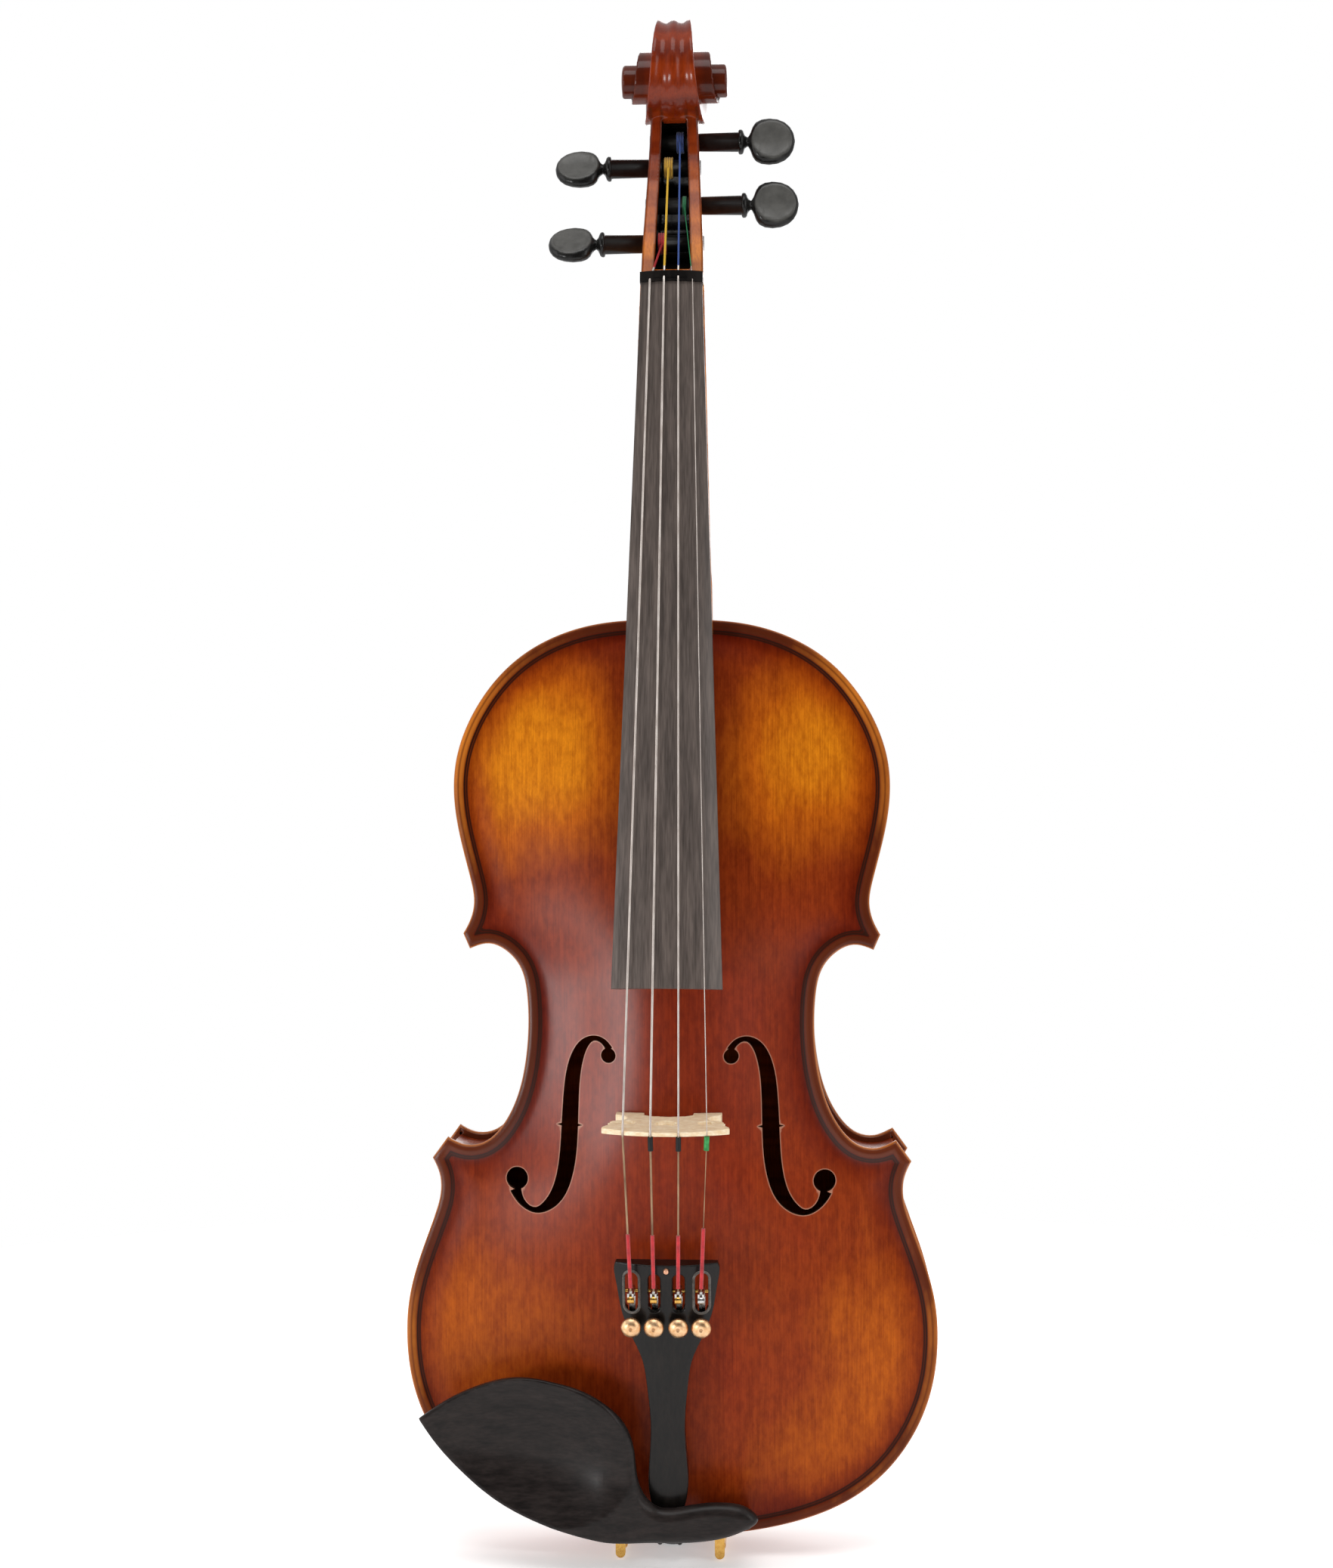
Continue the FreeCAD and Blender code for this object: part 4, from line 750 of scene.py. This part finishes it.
class Look:
    """A material on the Principled shader, with short ways to add its patterns."""

    def __init__(self, name, **settings):
        self.material = bpy.data.materials.new(name)
        self.material.use_nodes = True
        self.tree = self.material.node_tree
        self.shader = self.tree.nodes["Principled BSDF"]
        for key, value in settings.items():
            self.shader.inputs[key.replace("_", " ").title().replace("Ior", "IOR")
                               ].default_value = value
        self.place = self.tree.nodes.new("ShaderNodeTexCoord").outputs["Object"]

    def put(self, socket, value):
        """Links a socket, or sets its number."""
        if isinstance(value, bpy.types.NodeSocket):
            self.tree.links.new(value, socket)
        else:
            socket.default_value = value

    def make(self, kind, **inputs):
        """A node with its inputs linked or set by name."""
        node = self.tree.nodes.new(f"ShaderNode{kind}")
        for name, value in inputs.items():
            self.put(node.inputs[name], value)
        return node

    def noise(self, scale, detail=3.0, rough=0.55, twist=0.0):
        """Noise over the object, stretched by a scale per metre in x, y and z."""
        spot = self.make("Mapping", Scale=scale, Vector=self.place).outputs["Vector"]
        return self.make("TexNoise", Scale=1.0, Detail=detail, Roughness=rough,
                         Distortion=twist, Vector=spot).outputs["Fac"]

    def noted(self, name):
        """The number stored at each point of the mesh under a name."""
        node = self.make("Attribute")
        node.attribute_name = name
        return node.outputs["Fac"]

    def axis(self, index):
        """One coordinate of the object, in metres."""
        return self.make("SeparateXYZ", Vector=self.place).outputs[index]

    def sums(self, kind, first, second):
        """A number worked out from others."""
        node = self.make("Math")
        node.operation = kind
        self.put(node.inputs[0], first)
        self.put(node.inputs[1], second)
        return node.outputs[0]

    def ranged(self, value, low, high, to_low=0.0, to_high=1.0):
        """A number carried from one range to another and held there."""
        node = self.make("MapRange")
        for socket, setting in zip(node.inputs, (value, low, high, to_low, to_high)):
            self.put(socket, setting)
        return node.outputs[0]

    def spread(self, noise, low=0.0, high=1.0):
        """The middle of a noise's range carried to another range."""
        return self.ranged(noise, 0.3, 0.7, low, high)

    def ramp(self, value, stops):
        """Colours along a number, as (position, colour) stops."""
        node = self.make("ValToRGB")
        elements = node.color_ramp.elements
        while len(elements) < len(stops):
            elements.new(0.5)
        for element, (position, colour) in zip(elements, stops):
            element.position = position
            element.color = colour
        self.put(node.inputs[0], value)
        return node.outputs["Color"]

    def greys(self, value, levels):
        """Grey levels along a number, as (position, level) stops."""
        return self.ramp(value, [(position, grey(level)) for position, level in levels])

    def mixed(self, share, first, second, kind="MIX"):
        """Two colours mixed by a share."""
        node = self.make("Mix")
        node.data_type = "RGBA"
        node.blend_type = kind
        self.put(node.inputs[0], share)
        self.put(node.inputs[6], first)
        self.put(node.inputs[7], second)
        return node.outputs[2]

    def tinted(self, share, base, value, low, dark, high):
        """A colour multiplied by a darker one wherever a pattern is low."""
        stops = [(low, dark), (high, grey(1.0))]
        return self.mixed(share, base, self.ramp(value, stops), "MULTIPLY")

    def turns(self, scale, twist=0.0):
        """Fine ridges across Z, as of a wound string."""
        node = self.make("TexWave", Scale=scale, Distortion=twist, Vector=self.place)
        node.bands_direction = "Z"
        return node.outputs["Fac"]

    def relief(self, height, strength, distance):
        """Bump from a height, in millimetres of distance; gives the finished material."""
        node = self.make("Bump", Strength=strength, Distance=distance * MM, Height=height)
        self.put(self.shader.inputs["Normal"], node.outputs["Normal"])
        return self.material

    def colour(self, value):
        """Sets or links the base colour."""
        self.put(self.shader.inputs["Base Color"], value)

    def gloss(self, value):
        """Sets or links the roughness."""
        self.put(self.shader.inputs["Roughness"], value)


def grey(level):
    """A grey of a linear level."""
    return (level, level, level, 1.0)


AMBER = rgb(224, 134, 20)
HONEY = rgb(194, 98, 15)
CHESTNUT = rgb(146, 57, 14)
RED_BROWN = rgb(140, 46, 14)
PURFLING = rgb(46, 18, 8)
BRIDGE_RANGE = (0.1605, 0.163)  # heights in metres between which a string turns brighter
NUT_RANGE = (0.494, 0.4945)  # and between which its silk begins


def edged(look, base, mottle, tone):
    """The bead and its painted shade line, the inlaid lines and the shading beside them, by
    distance from the outline.
    """
    edge = look.noted("edge_distance")
    shade = look.ramp(look.ranged(edge, 5.2, 17.0), [
        (0, rgb(158, 104, 84)), (0.35, rgb(214, 186, 172)), (1, grey(1.0))])
    base = look.mixed(0.9, base, shade, "MULTIPLY")
    patch = look.spread(mottle)
    wear_and_sheen = look.mixed(patch, rgb(206, 120, 38), rgb(164, 86, 28))
    stained = look.mixed(patch, rgb(104, 44, 17), rgb(74, 29, 12))
    bead = look.mixed(look.ranged(tone, 0.32, 0.62), wear_and_sheen, stained)
    lip = look.mixed(patch, rgb(196, 114, 42), rgb(146, 76, 28))
    bead = look.mixed(look.ranged(edge, 0.3, 0.85), lip, bead)
    # A dark line painted along the bead, as shade on its rounded edge.
    channel = look.greys(look.ranged(edge, 1.3, 3.6), [(0, 0), (0.3, 0.75), (0.55, 0.1), (1, 0.3)])
    bead = look.mixed(channel, bead, rgb(84, 32, 12))
    base = look.mixed(look.ranged(edge, 3.4, 4.2), bead, base)
    line = look.greys(look.ranged(edge, 3.9, 5.8), [(0, 0), (0.14, 1), (0.4, 1), (0.48, 0.6),
                                                    (0.56, 0.6), (0.64, 1), (0.84, 0.95), (1, 0)])
    return look.mixed(line, base, PURFLING)


def varnish_front():
    """Spruce under sunburst varnish: fine upright grain, short mottling and soft gloss."""
    look = Look("varnished_spruce_front", coat_roughness=0.3, specular_ior_level=0.04)
    mottle = look.noise((34, 30, 16), 5, 0.65)
    tone = look.sums("ADD", look.noted("tone"), look.spread(mottle, -0.12, 0.12))
    base = look.ramp(tone, [(0, AMBER), (0.3, HONEY), (0.68, CHESTNUT), (1, RED_BROWN)])
    grain = look.noise((760, 60, 11), 3, 0.6, 0.1)
    fine = look.noise((2400, 200, 60), 2, 0.5)
    fibre = look.noise((420, 420, 170), 3, 0.7)
    base = look.tinted(0.36, base, grain, 0.32, rgb(204, 178, 160), 0.56)
    base = look.tinted(0.3, base, fine, 0.3, rgb(170, 136, 116), 0.6)
    base = look.tinted(0.5, base, fibre, 0.34, rgb(178, 140, 116), 0.62)
    base = edged(look, base, mottle, tone)
    gap = look.noted("hole_distance")
    # A pale line painted round each sound hole's rim, as a highlight on the cut edge.
    base = look.mixed(look.ranged(gap, 0.12, 0.5, 0.6, 0.0), base, rgb(186, 140, 116))
    # The hole walls are painted dark brown as shade, below a thin fringe at their top.
    look.colour(look.mixed(look.ranged(gap, -0.6, -0.2, 1.0, 0.0), base, rgb(52, 40, 30)))
    look.gloss(look.spread(look.noise((60, 60, 40), 4, 0.6), 0.3, 0.42))
    # The front is more polished from the bridge up to the waist's middle.
    polish = look.sums("MULTIPLY", look.ranged(look.axis(2), 0.105, 0.15, 0.14, 0.52),
                       look.ranged(look.axis(2), 0.215, 0.255, 1.0, 0.25))
    look.put(look.shader.inputs["Coat Weight"], polish)
    return look.relief(grain, 0.12, 0.1)


def varnish_maple(name, tone, with_edge, flame_across, head=False):
    """Figured maple under varnish; the tone comes from a function of the look."""
    look = Look(name, coat_weight=0.4, coat_roughness=0.14, specular_ior_level=0.08)
    mottle = look.noise((24, 24, 14), 4, 0.6)
    shade = look.sums("ADD", tone(look), look.spread(mottle, -0.1, 0.1))
    base = look.ramp(shade, [(0, AMBER), (0.34, HONEY), (0.68, CHESTNUT), (1, RED_BROWN)])
    flame = look.noise(flame_across, 2, 0.45, 0.6)
    base = look.tinted(0.7, base, flame, 0.36, rgb(165, 120, 96), 0.6)
    fine = look.noise((1500, 1500, 60), 3, 0.6)
    base = look.tinted(0.35, base, fine, 0.3, rgb(150, 110, 90), 0.6)
    if with_edge:
        base = edged(look, base, mottle, shade)
    if head:
        # Painted shade on the scroll's ears: darker farther out to the sides.
        out = look.sums("ABSOLUTE", look.axis(0), 0)
        high = look.ranged(look.axis(2), 0.562, 0.568)
        ear_shade = look.sums("MULTIPLY", look.ranged(out, 0.0092, 0.0125), high)
        base = look.mixed(look.sums("MULTIPLY", ear_shade, 0.75), base, rgb(70, 24, 10))
        # The cheeks' edges get a painted shade.
        rim = look.sums("MULTIPLY", look.noted("cheek_edge_shade"), 0.75)
        base = look.mixed(rim, base, rgb(74, 28, 12))
        # The inside of the pegbox is painted near black as shade.
        base = look.mixed(look.noted("hollow"), base, rgb(16, 12, 10))
    look.colour(base)
    look.gloss(look.spread(look.noise((70, 70, 50), 4, 0.6), 0.2, 0.34))
    return look.relief(fine, 0.08, 0.08)


def rib_tone(look):
    """A nearly even red-brown."""
    return look.spread(look.noise((9, 9, 6), 2), 0.66, 0.82)


def head_tone(look):
    """Bare-looking amber on the shaft, orange cheeks, and red-brown towards the scroll."""
    return look.ranged(look.axis(2), 0.49, 0.553, 0.05, 0.84)


def ebony(name, grain_scale, low, high, rough, coat, wear_and_sheen=None):
    """Dark fittings: satin, with fine pores and faint streaks along the grain."""
    look = Look(name, coat_weight=coat, coat_roughness=0.2, specular_ior_level=0.12)
    streak = look.noise(grain_scale, 3, 0.6)
    fine = look.noise(tuple(v * 4 for v in grain_scale), 2, 0.6)
    base = look.ramp(streak, [(0.3, low), (0.7, high)])
    # On the pegs, the dished faces noted as pale get a lighter grey: a painted sheen.
    if wear_and_sheen:
        base = look.mixed(look.noted("pale"), base, wear_and_sheen)
    look.colour(look.tinted(0.4, base, fine, 0.3, grey(0.35), 0.65))
    look.gloss(look.spread(streak, rough - 0.05, rough + 0.08))
    return look.relief(fine, 0.15, 0.05)


def metal(name, colour, dark, rough):
    """Metal with faint tarnish in its colour and gloss."""
    look = Look(name, metallic=1.0)
    wear_and_sheen = look.noise((900, 900, 900), 3, 0.6)
    look.colour(look.ramp(wear_and_sheen, [(0.1, dark), (0.62, colour)]))
    look.gloss(look.spread(wear_and_sheen, rough - 0.06, rough + 0.1))
    return look.relief(wear_and_sheen, 0.08, 0.03)


def brass_heads():
    """Polished brass, duller in the recess of each screw head."""
    look = Look("brass_screw_heads", metallic=1.0)
    wear_and_sheen = look.noise((500, 500, 500), 3, 0.6)
    base = look.ramp(wear_and_sheen, [(0.3, rgb(206, 154, 104)), (0.62, rgb(240, 200, 156))])
    recess = look.sums("MULTIPLY", look.noted("recess"), 0.6)
    look.colour(look.mixed(recess, base, rgb(130, 84, 52)))
    look.gloss(look.spread(wear_and_sheen, 0.3, 0.42))
    return look.relief(wear_and_sheen, 0.08, 0.03)


def string_look(name, silk, wound):
    """Bright above the bridge, browner below it, silk inside the pegbox."""
    look = Look(name)
    height = look.axis(2)
    wear_and_sheen = look.noise((300, 300, 120), 2, 0.5)
    steel = look.ramp(wear_and_sheen, [(0.3, rgb(190, 178, 170)), (0.7, rgb(230, 220, 212))])
    tail = look.ramp(wear_and_sheen, [(0.3, rgb(112, 84, 62)), (0.7, rgb(168, 136, 104))])
    base = look.mixed(look.ranged(height, *BRIDGE_RANGE), tail, steel)
    look.colour(look.mixed(look.ranged(height, *NUT_RANGE), base, silk))
    look.gloss(look.ranged(height, *NUT_RANGE, 0.25, 0.8))
    look.put(look.shader.inputs["Metallic"], look.ranged(height, *NUT_RANGE, 0.5, 0.0))
    if wound:
        look.relief(look.turns(900.0), 0.15, 0.03)
    return look.material


def thread(name, colour, dark):
    """Silk wrapping: a soft dyed thread in fine turns."""
    look = Look(name, sheen_weight=0.4)
    ridge = look.turns(700.0, 1.5)
    look.colour(look.mixed(look.spread(look.noise((400, 400, 400))), colour, dark))
    look.gloss(look.ranged(ridge, 0, 1, 0.6, 0.8))
    return look.relief(ridge, 0.5, 0.08)


def bridge_maple():
    """Pale unvarnished maple with short flecks."""
    look = Look("bare_maple_bridge", specular_ior_level=0.35)
    ray = look.noise((260, 900, 900), 3, 0.6)
    fleck = look.noise((700, 300, 1600), 2, 0.5)
    base = look.ramp(ray, [(0.3, rgb(232, 202, 156)), (0.66, rgb(250, 234, 204))])
    look.colour(look.tinted(0.1, base, fleck, 0.4, rgb(176, 128, 82), 0.6))
    look.gloss(look.spread(ray, 0.42, 0.58))
    return look.relief(ray, 0.1, 0.06)


def bare_spruce():
    """Unvarnished spruce inside the body."""
    look = Look("bare_spruce", specular_ior_level=0.3)
    grain = look.noise((400, 60, 10), 3, 0.6)
    look.colour(look.ramp(grain, [(0.3, rgb(172, 134, 84)), (0.68, rgb(214, 182, 130))]))
    look.gloss(look.spread(grain, 0.6, 0.8))
    return look.relief(grain, 0.15, 0.1)


def cork_look():
    """Crumbly cork."""
    look = Look("cork_pad", specular_ior_level=0.2)
    crumbs = look.make("TexVoronoi", Scale=1100.0, Vector=look.place).outputs["Distance"]
    look.colour(look.ramp(crumbs, [(0.1, rgb(120, 76, 40)), (0.6, rgb(196, 150, 98))]))
    look.gloss(look.ranged(crumbs, 0, 1, 0.75, 0.95))
    return look.relief(crumbs, 0.4, 0.15)


def sleeves_look():
    """Small tubes over the strings: black on two of them and green on the thinnest."""
    look = Look("string_sleeves", specular_ior_level=0.25)
    soft = look.noise((500, 500, 500), 2)
    black = look.ramp(soft, [(0.3, rgb(12, 12, 13)), (0.7, rgb(24, 24, 25))])
    green = look.ramp(soft, [(0.3, rgb(36, 118, 60)), (0.7, rgb(68, 164, 90))])
    look.colour(look.mixed(look.ranged(look.axis(0), 0.0105, 0.011), black, green))
    look.gloss(look.spread(soft, 0.35, 0.5))
    return look.material


def paint(material, *pieces):
    """Puts a material on every slot of some CAD nodes, given by name, or pieces."""
    for piece in pieces:
        item = nodes[piece] if isinstance(piece, str) else piece
        if not item.data.materials:
            item.data.materials.append(material)
        for slot in item.material_slots:
            slot.material = material


FITTING = ebony("ebony_tailpiece", (300, 300, 60), rgb(11, 9, 8), rgb(26, 21, 18), 0.34, 0.3)
BRASS = metal("brass_parts", rgb(228, 180, 96), rgb(176, 120, 52), 0.26)
STEEL = metal("steel_parts", rgb(206, 205, 202), rgb(146, 144, 140), 0.26)
SILKS = {"g": thread("red_silk", rgb(206, 30, 42), rgb(150, 14, 26)),
         "d": thread("yellow_silk", rgb(222, 178, 50), rgb(170, 120, 26)),
         "a": thread("blue_silk", rgb(56, 84, 150), rgb(30, 48, 104)),
         "e": thread("green_silk", rgb(40, 140, 88), rgb(20, 92, 52))}
SILK_COLOURS = {"g": rgb(160, 24, 30), "d": rgb(212, 168, 46), "a": rgb(52, 78, 140),
                "e": rgb(34, 126, 78)}

paint(varnish_front(), front)
paint(varnish_maple("varnished_maple_back", lambda look: look.noted("tone"), True,
                    (10, 30, 150)), back)
paint(varnish_maple("varnished_maple_ribs", rib_tone, False, (130, 130, 8)),
      "upper_ribs", "waist_ribs", "lower_ribs")
paint(varnish_maple("varnished_maple_neck", head_tone, False, (12, 110, 110), True), neck)
paint(bridge_maple(), bridge)
paint(ebony("ebony_fingerboard", (420, 200, 5), rgb(78, 70, 66), rgb(106, 95, 89),
            0.34, 0.2), "fingerboard")
# On the pegs the last colour is a painted sheen on the dished faces.
paint(ebony("ebony_pegs", (60, 60, 60), rgb(17, 16, 15), rgb(27, 26, 25),
            0.32, 0.3, rgb(90, 89, 86)), *pegs)
paint(ebony("ebony_chin_rest", (70, 300, 300), rgb(22, 18, 17), rgb(42, 35, 33),
            0.4, 0.16), chin_rest)
paint(ebony("satin_slot_rims", (500, 500, 500), rgb(70, 66, 62), rgb(110, 104, 98),
            0.3, 0.3), *rims)
paint(FITTING, tailpiece, "nut", "saddle", "end_button", "tail_gut")
paint(brass_heads(), *knobs)
paint(BRASS, "adjuster_pins", "clamp_legs", "clamp_foot", "clamp_barrel_bass",
      "clamp_barrel_treble")
paint(metal("rosy_brass_stud", rgb(226, 172, 140), rgb(178, 120, 92), 0.28), "tailpiece_stud")
paint(bare_spruce(), "upper_block", "lower_block", "corner_blocks", "linings", "bass_bar",
      "sound_post")
paint(cork_look(), "chin_rest_cork", "clamp_foot_cork")
for name in "gdae":
    paint(string_look(f"string_{name}", SILK_COLOURS[name], name != "e"), f"string_{name}")
    paint(SILKS[name], f"winding_{name}")
    paint(BRASS, f"adjuster_stem_{name}")
    paint(STEEL, f"adjuster_lever_{name}")
    paint(STEEL if name == "e" else BRASS, f"string_ball_{name}")
paint(SILKS["g"], "string_silks")
paint(sleeves_look(), "string_sleeves")


# ---- floor, light and camera

def floor_plane():
    """A round pale table top under the instrument."""
    low = cad_box[0][2] - 0.0003
    mesh = bpy.data.meshes.new("floor")
    rim = circle(0, 0, 0.75, 96)
    mesh.from_pydata([(x, y, low) for x, y in rim], [], [tuple(range(len(rim)))])
    item = bpy.data.objects.new("floor", mesh)
    bpy.context.scene.collection.objects.link(item)
    look = Look("pale_floor", specular_ior_level=0.1)
    look.colour(look.greys(look.noise((3, 3, 3), 2), [(0, 0.93), (1, 0.96)]))
    look.gloss(0.9)
    look.shader.inputs["Emission Color"].default_value = (1, 1, 1, 1)
    look.shader.inputs["Emission Strength"].default_value = 0.4
    paint(look.material, item)


def aimed(name, data, place, aim):
    """A light or camera at a place, looking at a point."""
    item = bpy.data.objects.new(name, data)
    item.location = place
    item.rotation_euler = (Vector(aim) - Vector(place)).to_track_quat("-Z", "Y").to_euler()
    bpy.context.scene.collection.objects.link(item)
    return item


def lamp(name, place, aim, size, power):
    """A soft rectangular light."""
    data = bpy.data.lights.new(name, "AREA")
    data.shape = "RECTANGLE"
    data.size, data.size_y = size
    data.energy = power
    aimed(name, data, place, aim)


def studio_world():
    """White to the camera; as a light, dim on the camera's side and brighter behind."""
    world = bpy.data.worlds.new("studio")
    world.use_nodes = True
    bpy.context.scene.world = world
    make, link = world.node_tree.nodes.new, world.node_tree.links.new
    background = world.node_tree.nodes["Background"]
    background.inputs["Color"].default_value = (1, 1, 1, 1)
    apart = make("ShaderNodeSeparateXYZ")
    link(make("ShaderNodeTexCoord").outputs["Generated"], apart.inputs[0])
    studio = make("ShaderNodeMapRange")
    for socket, value in zip(studio.inputs[1:5], (-0.9, -0.3, 0.05, 0.7)):
        socket.default_value = value
    link(apart.outputs["Y"], studio.inputs["Value"])
    strength = make("ShaderNodeMix")
    strength.inputs[3].default_value = 1.0
    link(make("ShaderNodeLightPath").outputs["Is Camera Ray"], strength.inputs[0])
    link(studio.outputs[0], strength.inputs[2])
    link(strength.outputs[0], background.inputs["Strength"])


floor_plane()
lamp("key", (-1.06, -1.355, 0.03), (0, 0, 0.18), (0.42, 0.3), 7.5)
lamp("side", (-1.5, -0.5, 0.5), (0, 0, 0.28), (0.8, 1.2), 4)
lamp("fill", (1.35, -1.0, 0.7), (0, 0, 0.28), (0.7, 1.2), 6)
lamp("top", (0, -0.9, 1.9), (0, 0, 0.3), (1.4, 0.9), 13)
lamp("behind", (0.4, 1.6, 1.1), (0, 0, 0.28), (1.2, 1.2), 12)
studio_world()
bpy.context.scene.view_settings.view_transform = "Standard"
camera = aimed("camera", bpy.data.cameras.new("camera"), (0.050, -0.9655, 0.292),
               (-0.0016, -0.0195, 0.2919))
camera.data.lens = 56.05
camera.data.sensor_width = 36.0
bpy.context.scene.camera = camera
